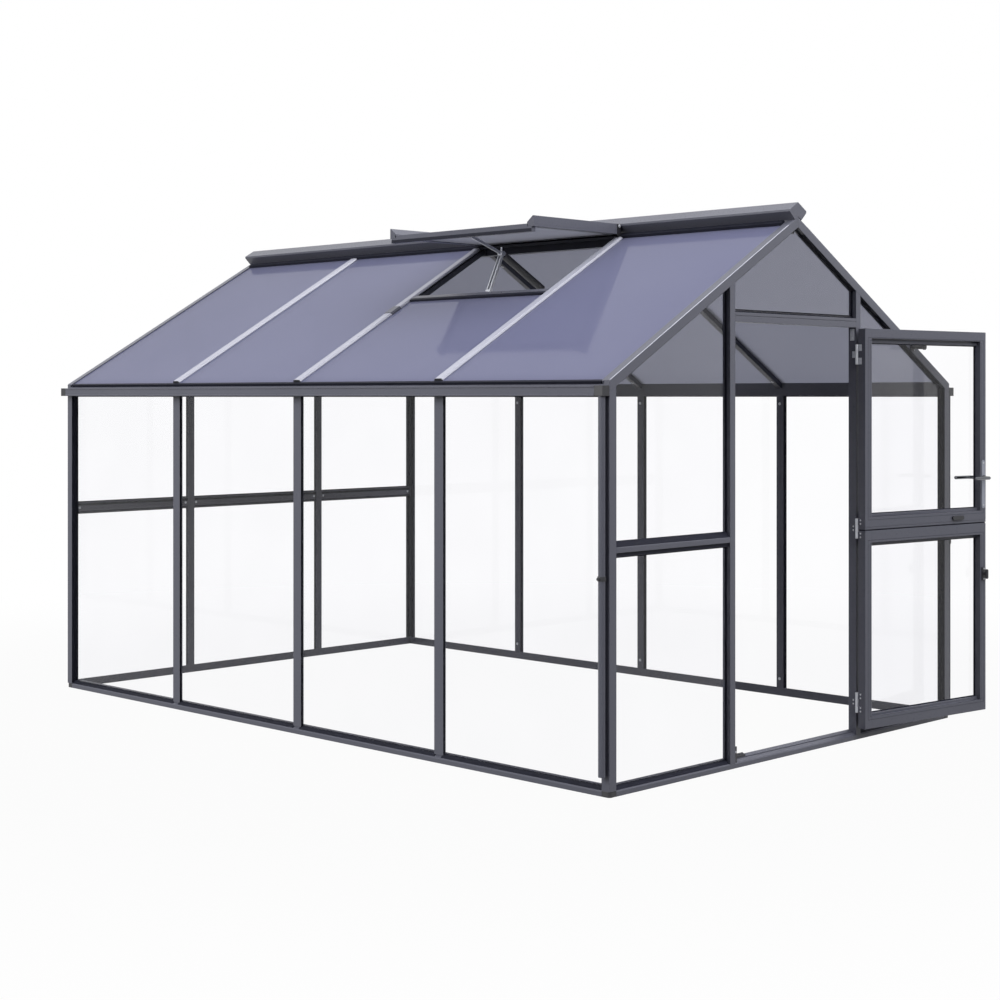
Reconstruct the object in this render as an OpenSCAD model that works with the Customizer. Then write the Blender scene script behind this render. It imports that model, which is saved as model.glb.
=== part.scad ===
// Glass greenhouse with a pitched roof, one raised roof vent and a two-part stable door.
// The origin is on the ground in the middle of the doorway, on the front bar line.
// X runs to the hinge side, Y to the back, Z up. All sizes are in millimetres.

/* [Building] */
// Spacing of the glazing bars along the side walls
bay_pitch = 930; // [700:5:1100]
// Number of bays along the side walls
bays = 4; // [3:1:6]
// Width of the glazed panel on each side of the door, between bar lines
side_bay = 740; // [600:5:900]
// Spacing of the two door jambs, centre to centre
door_bay = 912; // [850:2:1050]
// Distance from the bar lines to the outer wall face
wall_edge = 24; // [22:1:28]
// Height of the eave beam's underside
eave_h = 1525; // [1480:5:1800]
// Height of the roof plane at the outer wall face, above the eave beam's underside
eave_rise = 61; // [56:1:70]
// Pitch of the roof in degrees
pitch = 30; // [26:1:35]

/* [Frame sections] */
// Width of the corner posts and feet, and depth of the base rails, jambs and rafters
frame_d = 40; // [38:1:50]
// Width of a wall glazing bar
bar_w = 40; // [32:1:44]
// Depth of a wall glazing bar
bar_d = 22; // [20:1:24]
// Depth of a wall glazing bar's face behind the outer wall face
bar_set = 14; // [10:1:16]
// Width of the web between two panes or two roof sheets
web_w = 8; // [6:1:10]
// Width of a door jamb
jamb_w = 35; // [30:1:44]
// Height of a gable rafter, square to the slope
rafter_h = 40; // [36:1:48]
// Height of the base rail's inner edge
base_h = 42; // [38:1:48]
// Height of the base rail's outer face, below its sloping sill
base_lip = 21; // [18:1:26]
// Height of a moulded corner foot
foot_h = 22; // [16:1:24]
// Corner radius of a moulded corner foot
foot_r = 14; // [6:1:20]
// Height of the gable mid-rails' underside
mid_z = 910; // [800:5:1100]
// Height of a gable mid-rail
mid_h = 56; // [48:1:64]
// Depth of a gable mid-rail
mid_d = 30; // [29:1:36]
// Height of the lintel's underside above the eave beam's underside
lintel_rise = 304; // [260:1:320]
// Height of the lintel's outer face
lintel_h = 40; // [34:1:46]

/* [Glazing] */
// Thickness of a wall pane
pane = 4; // [3:0.5:5]
// Depth of a wall pane's outer face behind the outer wall face
pane_set = 20; // [19:0.5:22]
// Play in front of a pane in its groove
pane_play = 0.5; // [0.2:0.1:1]
// Depth of a glazing groove
groove = 10; // [8:0.5:12]
// Gap between a pane's edge and the end of its groove
edge_gap = 2; // [1:0.5:3]
// Thickness of a roof sheet
sheet = 10; // [8:1:12]
// Thickness of the rafter's flange over the roof sheets
cover = 4.5; // [3:0.5:6]
// Width of roof sheet that the rafter's flange covers
sheet_lap = 12; // [8:1:16]

/* [Eave and roof] */
// Width of the gutter trough
gutter_w = 40; // [34:1:60]
// Height of the gutter trough
gutter_h = 40; // [32:1:42]
// Wall thickness of the gutter trough and its ends
gutter_t = 3; // [2:0.5:4]
// Length of the moulded gutter outlet past the corner post
outlet_over = 3; // [2:1:20]
// Outer diameter of a downpipe
pipe_od = 28; // [22:1:32]
// Wall thickness of a downpipe
pipe_t = 1.5; // [1:0.5:3]
// Height of a downpipe's open foot
pipe_foot = 80; // [60:5:200]
// Height of a pipe clip's middle
clip_z = 832; // [500:5:1100]
// Width of a roof glazing bar's lower flange
roof_bar_w = 30; // [24:1:40]
// Depth of a roof glazing bar below the roof plane
roof_bar_d = 40; // [34:1:48]
// Width of a cap strip
cap_w = 48; // [42:1:56]
// Height of a cap strip
cap_h = 11; // [8:1:14]
// Half width of the ridge cap
ridge_tip = 60; // [50:1:75]
// Half width of the ridge beam's body
ridge_neck = 25; // [20:1:32]
// Height of the ridge above the meeting line of the rafters
ridge_rise = 62; // [56:1:75]

/* [Vent] */
// Bay that holds the vent, counted from the front
vent_bay = 2; // [1:1:3]
// Distance of the vent's sill from the outer wall face, level
sill_in = 692; // [560:1:760]
// Distance of the raised vent's free edge from the ridge line, level
vent_reach = 640; // [520:5:700]
// Height of the vent's side rails
vent_h = 48; // [42:1:54]
// Width of the vent's side rails
vent_side = 40; // [34:1:46]
// Width of the vent's bottom rail
vent_rail = 24; // [20:1:30]
// Drop of the vent's bottom rail below its side rails
vent_drip = 22; // [18:1:26]
// Distance of the opener's elbow from the vent's free edge, level
elbow_in = 237; // [200:1:260]
// Height of the opener's elbow over the roof plane
elbow_up = 128; // [110:1:150]
// Length of the opener's spring tube
tube_l = 300; // [200:1:320]

/* [Door] */
// Angle at which both door leaves stand open, in degrees
open_angle = 172.5; // [90:0.5:174]
// Thickness of a door leaf
leaf_d = 40; // [36:1:40]
// Gap over and between the leaves
leaf_gap = 6; // [5:0.5:8]
// Gap under the lower leaf
foot_gap = 12; // [10:1:20]
// Gap between the hinge edge and its jamb
hinge_gap = 7; // [6.5:0.5:9]
// Gap between the free edge and its jamb
latch_gap = 22; // [20:1:30]
// Height of the middle of the gap between the leaves
split_z = 932; // [850:1:1000]
// Width of the hinge stile
hinge_stile = 43; // [38:1:50]
// Width of the free stile
free_stile = 40; // [36:1:50]
// Height of the upper leaf's top rail
top_rail = 43; // [38:1:55]
// Height of the glazing bead under the top rail
top_bead = 20; // [14:1:26]
// Height of the rails on both sides of the split
lock_rail = 53; // [46:1:64]
// Height of the lower leaf's bottom rail
kick_rail = 50; // [44:1:64]
// Radius of a hinge knuckle
knuckle_r = 7; // [6.5:0.5:7.5]
// Height of one hinge knuckle
knuckle_h = 29; // [22:1:34]
// Distance of the top hinge's middle below the upper leaf's top
top_hinge_drop = 114; // [80:1:200]
// Height of the middle of the bottom hinge
low_hinge_z = 167; // [120:1:300]
// Height of the lever spindle
lever_z = 1142; // [1080:1:1250]
// Length of a lever, from its spindle to its tip
lever_l = 106; // [90:1:130]
// Radius of a lever
lever_r = 8; // [6:0.5:9]
// Distance of a lever's middle from its plate
lever_out = 38; // [34:1:60]
// Height of the lower leaf's knob
knob_z = 692; // [500:1:800]
// Distance of the leaf catch on the front rafter from the middle of the doorway
catch_x = 896; // [860:1:960]

/* [Hidden] */
$fn = 48;
frame_col = "#55565f";
black_col = "#1d1d20";
silver_col = "#c8c9cf";
glass_col = [0.80, 0.86, 0.88, 0.35];
sheet_col = [0.56, 0.57, 0.66, 0.75];

// Main lines of the building
half_w = side_bay + door_bay / 2 + wall_edge;
length = bays * bay_pitch;
front_y = -wall_edge;
back_y = length + wall_edge;
eave_top = eave_h + eave_rise;
margin = 200;
bar_ys = [for (i = [1:bays - 1]) i * bay_pitch];
jamb_x = door_bay / 2;
reveal_x = jamb_x - jamb_w / 2;
lintel_z = eave_h + lintel_rise;

// Glazing grooves, measured in from the outer wall face
slot_out = pane_set - pane_play;
slot_in = pane_set + pane;

// Depths below the roof plane, square to it
sheet_play = 0.5;
sheet_top = cover + sheet_play;
sheet_seat = sheet_top + sheet;
pane_top_m = rafter_h - groove + edge_gap;

// Heights of the roof plane and of planes under it
function roof_z(x) = eave_top + (half_w - abs(x)) * tan(pitch);
function under_z(x, m) = roof_z(x) - m / cos(pitch);
ridge_top = roof_z(0) + ridge_rise;
tip_top = ridge_top - ridge_tip * tan(pitch);
tip_t = 9;

// Vent
vent_y0 = (vent_bay - 1) * bay_pitch;
vent_y1 = vent_bay * bay_pitch;
sill_s = sill_in / cos(pitch);
sill_w = 30;
sill_d = 32;
vent_under = tip_top - vent_h;
vent_sheet_z = vent_under + 3;
hinge_rail_w = 22;

// Door leaves, drawn closed and then swung open about the hinge line
hinge_x = reveal_x - hinge_gap + 0.5;
hinge_y = front_y - 8;
leaf_x1 = reveal_x - hinge_gap;
leaf_x0 = -reveal_x + latch_gap;
leaf_y0 = front_y;
leaf_y1 = front_y + leaf_d;
upper_z0 = split_z + leaf_gap / 2;
upper_z1 = lintel_z - leaf_gap;
lower_z0 = base_h + foot_gap;
lower_z1 = split_z - leaf_gap / 2;
leaf_slot0 = 3.5;
leaf_slot1 = leaf_slot0 + pane + pane_play;
bead_d = 22;
spindle_x = leaf_x0 + free_stile / 2;
spindle_play = 0.3;
plate_t = 3;

// Copies a front piece to the back gable, and a left piece to the right side
module to_back() { translate([0, length, 0]) mirror([0, 1, 0]) children(); }
module front_and_back() { children(); to_back() children(); }
module left_and_right() { children(); mirror([1, 0, 0]) children(); }

// Runs a section (depth into the wall, height) along the left wall or the front wall
module along_left(y0, y1) {
  translate([-half_w, y1, 0]) rotate([90, 0, 0]) linear_extrude(y1 - y0) children();
}
module along_front(x0, x1) {
  translate([x0, front_y, 0]) rotate([90, 0, 90]) linear_extrude(x1 - x0) children();
}

// Turns from the left slope's own axes: X up the slope from the outer wall face, Z square out of it
module left_slope() { translate([-half_w, 0, eave_top]) rotate([0, -pitch, 0]) children(); }
// Runs a section (length of the house, height over the roof plane) up the left slope
module up_slope(s0, s1) {
  left_slope() translate([s0, 0, 0]) rotate([90, 0, 90]) linear_extrude(s1 - s0) children();
}
// Keeps what lies between two upright planes across the house
module between_x(x0, x1) {
  intersection() {
    children();
    translate([x0, front_y - margin, 0]) cube([x1 - x0, back_y - front_y + 2 * margin, ridge_top + margin]);
  }
}
// Keeps what lies under the plane m below the roof
module under_roof(m) {
  edge = half_w + margin;
  intersection() {
    children();
    translate([0, back_y + margin, 0]) rotate([90, 0, 0])
      linear_extrude(back_y - front_y + 2 * margin)
        polygon([[-edge, -margin], [edge, -margin], [edge, under_z(edge, m)], [0, under_z(0, m)],
                 [-edge, under_z(edge, m)]]);
  }
}

// Base: a rail whose sill slopes from a blunt nose up to its inner edge, with a glazing groove
sill_nose = 3;
function sill_z(d) = base_lip + (base_h - base_lip) * d / frame_d;
pane_foot = sill_z(slot_out) - groove / 2;
module base_section() {
  polygon([[0, 0], [0, base_lip - sill_nose], [sill_nose, sill_z(sill_nose)], [slot_out, sill_z(slot_out)],
           [slot_out, pane_foot], [slot_in, pane_foot], [slot_in, sill_z(slot_in)], [frame_d, base_h],
           [frame_d, 0]]);
}
rail_x = half_w - frame_d;

module front_base_rail() { color(frame_col) along_front(-rail_x, rail_x) base_section(); }
module back_base_rail() { color(frame_col) to_back() along_front(-rail_x, rail_x) base_section(); }
module side_base_rails() {
  color(frame_col) left_and_right() along_left(front_y + frame_d, back_y - frame_d) base_section();
}

// Two grooves at the left front corner, for the side pane and the gable pane
module corner_grooves() {
  translate([slot_out, frame_d - groove]) square([slot_in - slot_out, groove + 1]);
  translate([frame_d - groove, slot_out]) square([groove + 1, slot_in - slot_out]);
}
// Low moulded foot under each post, rounded on its outer corner
module corner_foot() {
  translate([-half_w, front_y, 0]) difference() {
    linear_extrude(foot_h) {
      translate([foot_r, 0]) square([frame_d - foot_r, frame_d]);
      translate([0, foot_r]) square([frame_d, frame_d - foot_r]);
      translate([foot_r, foot_r]) circle(foot_r);
    }
    translate([0, 0, pane_foot]) linear_extrude(foot_h) corner_grooves();
  }
}
module base_corner_feet() { color(black_col) left_and_right() front_and_back() corner_foot(); }

// Corner post with a groove for the side pane and one for the gable pane
module corner_post() {
  under_roof(rafter_h) translate([-half_w, front_y, foot_h]) linear_extrude(eave_top) difference() {
    square(frame_d);
    corner_grooves();
  }
}
module corner_posts() { color(frame_col) left_and_right() front_and_back() corner_post(); }

// Left door jamb, grooved on the side away from the doorway, coped over the base rail
module door_jamb() {
  difference() {
    under_roof(rafter_h) translate([-jamb_x, front_y, 0]) linear_extrude(ridge_top) difference() {
      translate([-jamb_w / 2, 0]) square([jamb_w, frame_d]);
      translate([-jamb_w / 2 - 1, slot_out]) square([groove + 1, slot_in - slot_out]);
    }
    translate([0, 0, over_lintel]) lintel_pane_groove();
    translate([-jamb_x - jamb_w, front_y - 1, -1]) cube([2 * jamb_w, frame_d + 2, base_lip - sill_nose + 1]);
    front_base_rail();
  }
}
// Groove in the doorway side of the jambs for the pane over the lintel
over_lintel = lintel_z + lintel_h - groove + edge_gap;
module lintel_pane_groove() {
  translate([-reveal_x - groove, front_y + slot_out, 0]) cube([groove + 1, slot_in - slot_out, ridge_top]);
}
module door_jambs() { color(frame_col) left_and_right() door_jamb(); }

// Lintel with a shadow line along its face and a rebate on top for the gable pane
module door_lintel() {
  top = lintel_z + lintel_h;
  line_z = lintel_z + lintel_h * 0.6;
  line_w = 3;
  line_d = 2;
  color(frame_col) along_front(-reveal_x, reveal_x)
    polygon([[0, lintel_z], [0, line_z], [line_d, line_z], [line_d, line_z + line_w], [0, line_z + line_w],
             [0, top], [slot_out, top], [slot_out, over_lintel], [slot_in, over_lintel],
             [slot_in, top + groove], [frame_d, top + groove], [frame_d, lintel_z]]);
}

// Glazing bar, set back from the wall face: an outer cap and an inner flange joined by a web
module wall_bar_section() {
  slot_l = (bar_w - web_w) / 2;
  difference() {
    translate([bar_set, -bar_w / 2]) square([bar_d, bar_w]);
    for (side = [-1, 1])
      translate([slot_out, side * (web_w + slot_l + 1) / 2 - (slot_l + 1) / 2])
        square([slot_in - slot_out, slot_l + 1]);
  }
}
module wall_glazing_bars() {
  color(frame_col) left_and_right() difference() {
    for (y = bar_ys)
      translate([-half_w, y, base_lip]) linear_extrude(eave_h - base_lip) wall_bar_section();
    side_base_rails();
  }
}
module back_gable_bars() {
  color(frame_col) left_and_right() difference() {
    under_roof(rafter_h) to_back()
      translate([-jamb_x, front_y, base_lip]) linear_extrude(ridge_top) rotate(90) wall_bar_section();
    back_base_rail();
  }
}

// Mid-rails stiffen the gable panels: a nose with a weathered top over a set-back lip, grooved above and below
module mid_rail_section() {
  bed = groove - edge_gap;
  top = mid_z + mid_h;
  nose_z0 = mid_z + mid_h * 0.29;
  nose_z1 = mid_z + mid_h * 0.66;
  lip_d = slot_out / 2;
  polygon([[lip_d, mid_z], [slot_out, mid_z], [slot_out, mid_z + bed], [slot_in, mid_z + bed], [slot_in, mid_z],
           [mid_d, mid_z], [mid_d, top], [slot_in, top], [slot_in, top - bed], [slot_out, top - bed],
           [slot_out, top], [0, nose_z1], [0, nose_z0], [lip_d, nose_z0]]);
}
module gable_mid_rails() {
  post_x = half_w - frame_d;
  color(frame_col) {
    left_and_right() along_front(-post_x, -jamb_x - jamb_w / 2) mid_rail_section();
    left_and_right() to_back() along_front(-post_x, -jamb_x - bar_w / 2) mid_rail_section();
    to_back() along_front(-jamb_x + bar_w / 2, jamb_x - bar_w / 2) mid_rail_section();
  }
}

// Eave: a beam with a sloping seat for the roof sheets, and a trough on its outer side
module eave_beam_section() {
  seat = eave_top - (sheet_seat + sheet_play) / cos(pitch);
  difference() {
    polygon([[0, eave_h], [frame_d, eave_h], [frame_d, seat + frame_d * tan(pitch)], [0, seat]]);
    translate([slot_out, eave_h - 1]) square([slot_in - slot_out, groove + 1]);
  }
}
// The trough's face has a lip along its top and a bead along its foot
module trough_section() {
  top = eave_h + gutter_h;
  inner = -gutter_w + gutter_t;
  roll = 3;
  roll_h = 7;
  polygon([[-gutter_w - roll, eave_h], [1, eave_h], [1, eave_h + gutter_t], [inner, eave_h + gutter_t],
           [inner, top], [-gutter_w - roll, top], [-gutter_w - roll, top - roll_h], [-gutter_w, top - roll_h],
           [-gutter_w, eave_h + roll_h], [-gutter_w - roll, eave_h + roll_h]]);
}
outlet_l = frame_d + outlet_over;
module gutter() {
  beam_y = front_y + frame_d;
  trough_y = front_y + outlet_l;
  along_left(beam_y, length - beam_y) eave_beam_section();
  along_left(trough_y, length - trough_y) trough_section();
}
module left_gutter() { color(frame_col) gutter(); }
module right_gutter() { color(frame_col) mirror([1, 0, 0]) gutter(); }

// Moulded gutter ends: an outlet over each downpipe at the front, a plain stop at the back
pipe_x = -half_w - gutter_w / 2;
pipe_y = front_y + outlet_l / 2;
module gutter_end() {
  translate([-half_w - gutter_w, front_y, eave_h]) difference() {
    cube([gutter_w, outlet_l, gutter_h]);
    translate([gutter_t, gutter_t, gutter_t]) cube([gutter_w - 2 * gutter_t, outlet_l, gutter_h]);
  }
}
module pipe_bore() {
  translate([pipe_x, pipe_y, pipe_foot - 1])
    cylinder(r = pipe_od / 2 - pipe_t, h = eave_h - pipe_foot + gutter_h);
}
module gutter_ends() {
  color(black_col) left_and_right() {
    difference() { gutter_end(); pipe_bore(); }
    to_back() gutter_end();
  }
}
module downpipes() {
  color(frame_col) left_and_right() difference() {
    translate([pipe_x, pipe_y, pipe_foot]) cylinder(d = pipe_od, h = eave_h - pipe_foot);
    pipe_bore();
  }
}
// Clip round the pipe, seated on the post, with a turned knob outside
clip_h = 18;
clip_t = 3;
clip_play = 0.2;
clip_knob = 8;
module pipe_clip() {
  pipe_r = pipe_od / 2;
  translate([pipe_x, pipe_y, clip_z]) difference() {
    union() {
      cylinder(r = pipe_r + clip_t, h = clip_h, center = true);
      translate([0, -clip_h / 3, -clip_h / 2]) cube([gutter_w / 2, clip_h * 2 / 3, clip_h]);
      rotate([0, -90, 0]) cylinder(r = clip_h / 3, h = pipe_r + clip_t + clip_knob);
    }
    cylinder(r = pipe_r + clip_play, h = clip_h + 2, center = true);
  }
}
module pipe_clips() { color(black_col) left_and_right() pipe_clip(); }

// Gable rafter: a rounded outer edge, a groove below for the gable pane, a rebate inside for the roof sheet
rafter_r = 5;
module rafter_section() {
  translate([front_y, 0]) difference() {
    union() {
      translate([0, -rafter_h]) square([frame_d, rafter_h - rafter_r]);
      translate([rafter_r, -rafter_h]) square([frame_d - rafter_r, rafter_h]);
      translate([rafter_r, -rafter_r]) circle(rafter_r);
    }
    translate([slot_out, -rafter_h - 1]) square([slot_in - slot_out, groove + 1]);
    translate([frame_d - sheet_lap, -sheet_seat]) square([sheet_lap + 1, sheet_seat - cover]);
  }
}
slope_l = half_w / cos(pitch);
module rafter() { between_x(-half_w, 0) up_slope(-margin, slope_l + margin) rafter_section(); }
module left_rafters() { color(frame_col) front_and_back() rafter(); }
module right_rafters() { color(frame_col) mirror([1, 0, 0]) front_and_back() rafter(); }

// Ridge beam: a pitched cap on a neck over the gables, and a body between them that holds the bars
module along_ridge(y0, y1) { translate([0, y1, 0]) rotate([90, 0, 0]) linear_extrude(y1 - y0) children(); }
module ridge_beam() {
  neck_z = roof_z(ridge_neck);
  body_z = under_z(ridge_neck, roof_bar_d + 8);
  cap = [[0, ridge_top], [ridge_tip, tip_top], [ridge_tip, tip_top - tip_t], [ridge_neck, neck_z],
         [0, roof_z(0)], [-ridge_neck, neck_z], [-ridge_tip, tip_top - tip_t], [-ridge_tip, tip_top]];
  body = [[0, roof_z(0) + 1], [ridge_neck, neck_z], [ridge_neck, body_z], [-ridge_neck, body_z],
          [-ridge_neck, neck_z]];
  color(frame_col) {
    along_ridge(front_y, back_y) polygon(cap);
    along_ridge(front_y + frame_d, back_y - frame_d) polygon(body);
  }
}

// Roof glazing bar: a web between the sheets on a flange below them
module roof_bar() {
  web_in = 22;
  between_x(-half_w + frame_d, -ridge_neck) up_slope(0, slope_l + margin)
    translate([-roof_bar_w / 2, -roof_bar_d]) square([roof_bar_w, roof_bar_d - sheet_seat]);
  between_x(-half_w + web_in, -ridge_neck) up_slope(0, slope_l + margin)
    translate([-web_w / 2, -sheet_seat]) square([web_w, sheet]);
}
module at_bars() { for (y = bar_ys) translate([0, y, 0]) children(); }
module roof_glazing_bars() { color(frame_col) left_and_right() at_bars() roof_bar(); }

// Light cap strip clipped over each bar, with chamfered edges
module bar_cap() {
  low = 14;
  high = (half_w - ridge_tip - 6) / cos(pitch);
  bevel = cap_w / 2 - 6;
  up_slope(low, high) translate([0, -sheet_top])
    polygon([[-cap_w / 2, 0], [cap_w / 2, 0], [cap_w / 2, cap_h / 3], [bevel, cap_h], [-bevel, cap_h],
             [-cap_w / 2, cap_h / 3]]);
}
module roof_bar_caps() { color(silver_col) left_and_right() at_bars() bar_cap(); }

// Side panes stand on the sill's groove and run up into the eave beam
module side_pane(bay) {
  post_edge = front_y + frame_d - groove + edge_gap;
  bar_edge = web_w / 2 + edge_gap;
  y0 = bay == 1 ? post_edge : (bay - 1) * bay_pitch + bar_edge;
  y1 = bay == bays ? length - post_edge : bay * bay_pitch - bar_edge;
  translate([-half_w + pane_set, y0, pane_foot]) cube([pane, y1 - y0, eave_h + groove - edge_gap - pane_foot]);
}
module left_wall_glass() { color(glass_col) for (bay = [1:bays]) side_pane(bay); }
module right_wall_glass() { color(glass_col) mirror([1, 0, 0]) for (bay = [1:bays]) side_pane(bay); }

// Gable panes: a rectangle below the mid-rail and a piece cut to the slope above it
module front_pane() {
  translate([0, front_y + pane_set + pane, 0]) rotate([90, 0, 0]) linear_extrude(pane) children();
}
module low_pane(x0, x1) {
  front_pane() polygon([[x0, pane_foot], [x1, pane_foot], [x1, mid_z + groove - 2 * edge_gap],
                        [x0, mid_z + groove - 2 * edge_gap]]);
}
module high_pane(x0, x1, foot) {
  crown = x0 * x1 < 0 ? [[0, under_z(0, pane_top_m)]] : [];
  front_pane() polygon(concat([[x0, foot], [x1, foot], [x1, under_z(x1, pane_top_m)]], crown,
                              [[x0, under_z(x0, pane_top_m)]]));
}
over_mid = mid_z + mid_h - groove + edge_gap;
gable_x0 = -half_w + frame_d - groove + edge_gap;
module front_gable_glass() {
  x1 = -jamb_x - jamb_w / 2 + groove - edge_gap;
  over_x = reveal_x + groove - edge_gap;
  color(glass_col) {
    left_and_right() {
      low_pane(gable_x0, x1);
      high_pane(gable_x0, x1, over_mid);
    }
    high_pane(-over_x, over_x, over_lintel);
  }
}
module back_gable_glass() {
  bar_edge = web_w / 2 + edge_gap;
  color(glass_col) to_back() {
    left_and_right() {
      low_pane(gable_x0, -jamb_x - bar_edge);
      high_pane(gable_x0, -jamb_x - bar_edge, over_mid);
    }
    low_pane(-jamb_x + bar_edge, jamb_x - bar_edge);
    high_pane(-jamb_x + bar_edge, jamb_x - bar_edge, over_mid);
  }
}

// Roof sheets lie between the webs, from the eave beam's seat to the ridge or the vent's sill
module roof_sheet(bay, s1) {
  rafter_edge = front_y + frame_d - sheet_lap + edge_gap;
  web_edge = web_w / 2 + edge_gap / 2;
  y0 = bay == 1 ? rafter_edge : (bay - 1) * bay_pitch + web_edge;
  y1 = bay == bays ? length - rafter_edge : bay * bay_pitch - web_edge;
  between_x(-half_w - margin, -ridge_neck) left_slope()
    translate([edge_gap, y0, -sheet_seat]) cube([s1 - edge_gap, y1 - y0, sheet]);
}
module left_roof_sheets() {
  color(sheet_col) for (bay = [1:bays]) roof_sheet(bay, bay == vent_bay ? sill_s : slope_l + margin);
}
module right_roof_sheets() {
  color(sheet_col) mirror([1, 0, 0]) for (bay = [1:bays]) roof_sheet(bay, slope_l + margin);
}

// Vent sill between two bars, lapping over the sheet below it
module vent_sill() {
  lip = 14;
  lip_t = 9;
  y0 = vent_y0 + roof_bar_w / 2;
  y1 = vent_y1 - roof_bar_w / 2;
  lip_y = cap_w / 2 + 2;
  color(frame_col) left_slope() {
    translate([sill_s, y0, -sill_d]) cube([sill_w, y1 - y0, sill_d - sheet_top]);
    translate([sill_s - lip, vent_y0 + lip_y, -sheet_top])
      cube([lip + sill_w, vent_y1 - vent_y0 - 2 * lip_y, lip_t]);
  }
}
// Raised vent: a hinge rail against the ridge tip, two side rails, a hanging bottom rail and a sheet
vent_rail_in = ridge_tip + hinge_rail_w;
vent_over = 4;
vent_drip_in = 10;
vent_out_y0 = vent_y0 - vent_over;
vent_out_y1 = vent_y1 + vent_over;
vent_bite = 8;
vent_lip = 6;
module vent_hinge_rail() {
  color(frame_col) translate([-vent_rail_in, vent_out_y0, vent_under])
    cube([hinge_rail_w, vent_out_y1 - vent_out_y0, vent_h]);
}
// Side rail: its top falls to the inner edge, which holds the sheet in a groove
module vent_side_rail() {
  brow = 5;
  inner_h = 20;
  g0 = vent_sheet_z - vent_under;
  g1 = g0 + sheet + sheet_play;
  translate([-vent_reach, vent_out_y0, vent_under]) rotate([90, 0, 90])
    linear_extrude(vent_reach - vent_rail_in)
      polygon([[0, 0], [vent_side, 0], [vent_side, g0], [vent_side - vent_bite, g0], [vent_side - vent_bite, g1],
               [vent_side, g1], [vent_side, inner_h], [brow, vent_h], [0, vent_h]]);
}
module vent_side_rails() {
  color(frame_col) {
    vent_side_rail();
    translate([0, vent_y0 + vent_y1, 0]) mirror([0, 1, 0]) vent_side_rail();
  }
}
module vent_bottom_rail() {
  foot = vent_under - vent_drip;
  y0 = vent_out_y0 + vent_side;
  y1 = vent_out_y1 - vent_side;
  color(frame_col) {
    translate([-vent_reach, vent_out_y0 + vent_drip_in, foot])
      cube([vent_rail, vent_out_y1 - vent_out_y0 - 2 * vent_drip_in, vent_drip]);
    translate([-vent_reach, y0, foot]) cube([vent_rail, y1 - y0, vent_sheet_z - foot]);
    translate([-vent_reach, y0, foot]) cube([vent_lip, y1 - y0, vent_sheet_z + sheet + 1 - foot]);
  }
}
module vent_sheet() {
  edge = vent_side - vent_bite + edge_gap;
  x0 = vent_reach - vent_lip - edge_gap;
  color(sheet_col) translate([-x0, vent_out_y0 + edge, vent_sheet_z])
    cube([x0 - vent_rail_in, vent_out_y1 - vent_out_y0 - 2 * edge, sheet]);
}

// Opener: an arm from the bottom rail and a forked one from the sill meet at an elbow with the spring tube
opener_y = (vent_y0 + vent_y1) / 2 - 40;
elbow_x = vent_reach - elbow_in;
elbow = [-elbow_x, roof_z(elbow_x) + elbow_up];
arm_w = 14;
arm_t = 6;
fork = 9;
lug = 18;
boss_r = 12;
boss_l = 2 * fork + arm_t + 4;
lug_r = lug / 2 - 1;
vent_lug = [-vent_reach + vent_rail + lug / 2, vent_under - vent_drip + lug / 2];
sill_lug_s = sill_s + sill_w + lug;
sill_lug = [-half_w + sill_lug_s * cos(pitch), eave_top + sill_lug_s * sin(pitch)];
// Bar between two points of the opener's plane, or beside it
module opener_bar(a, b, side) {
  d = b - a;
  translate([a[0], opener_y + side, a[1]]) rotate([0, -atan2(d[1], d[0]), 0])
    translate([0, -arm_t / 2, -arm_w / 2]) cube([norm(d), arm_t, arm_w]);
}
module opener_boss(p, r, l) {
  translate([p[0], opener_y, p[1]]) rotate([90, 0, 0]) cylinder(r = r, h = l, center = true);
}
module vent_opener_arms() {
  stub_r = 4;
  stub_l = 30;
  color(silver_col) {
    opener_bar(vent_lug, elbow, 0);
    for (side = [-fork, fork]) opener_bar(sill_lug, elbow, side);
    opener_boss(elbow, boss_r, boss_l);
    opener_boss(vent_lug, lug_r, lug + 4);
    opener_boss(sill_lug, lug_r, boss_l);
    translate([elbow[0], opener_y, elbow[1]]) cylinder(r = stub_r, h = stub_l);
    translate([-vent_reach + vent_rail, opener_y - lug / 2, vent_lug[1] - lug / 2]) cube([lug / 2, lug, lug]);
    left_slope() translate([sill_s + sill_w, opener_y - lug / 2, -lug]) cube([1.5 * lug, lug, lug]);
  }
}
tube_r = 17;
tube_fall = 29;
module vent_opener_tube() {
  color(black_col) translate([elbow[0], opener_y, elbow[1]]) rotate([0, 90 + tube_fall, 0])
    translate([0, 0, boss_r + 0.3]) cylinder(r = tube_r, h = tube_l);
}

// Hinges: the jamb carries the middle knuckle and the pin, the leaf the outer two
pin_r = 3;
pin_play = 0.1;
knuckle_gap = 0.5;
plate_w = 1.5;
flap_d = 20;
module knuckle(z, up) {
  translate([hinge_x, hinge_y, z + up * (knuckle_h + knuckle_gap) - knuckle_h / 2])
    cylinder(r = knuckle_r, h = knuckle_h);
}
module leaf_knuckle(z, up) {
  z0 = z + up * (knuckle_h + knuckle_gap) - knuckle_h / 2;
  difference() {
    union() {
      knuckle(z, up);
      translate([leaf_x1, hinge_y, z0]) cube([plate_w, flap_d + leaf_y0 - hinge_y, knuckle_h]);
    }
    translate([hinge_x, hinge_y, z0 - 1]) cylinder(r = pin_r + pin_play, h = knuckle_h + 2);
  }
}
module jamb_hinge(z) {
  knuckle(z, 0);
  translate([hinge_x, hinge_y, z - 1.5 * knuckle_h]) cylinder(r = pin_r, h = 3 * knuckle_h);
  translate([reveal_x - plate_w, hinge_y, z - knuckle_h / 2])
    cube([plate_w, flap_d + front_y - hinge_y, knuckle_h]);
}
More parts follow.
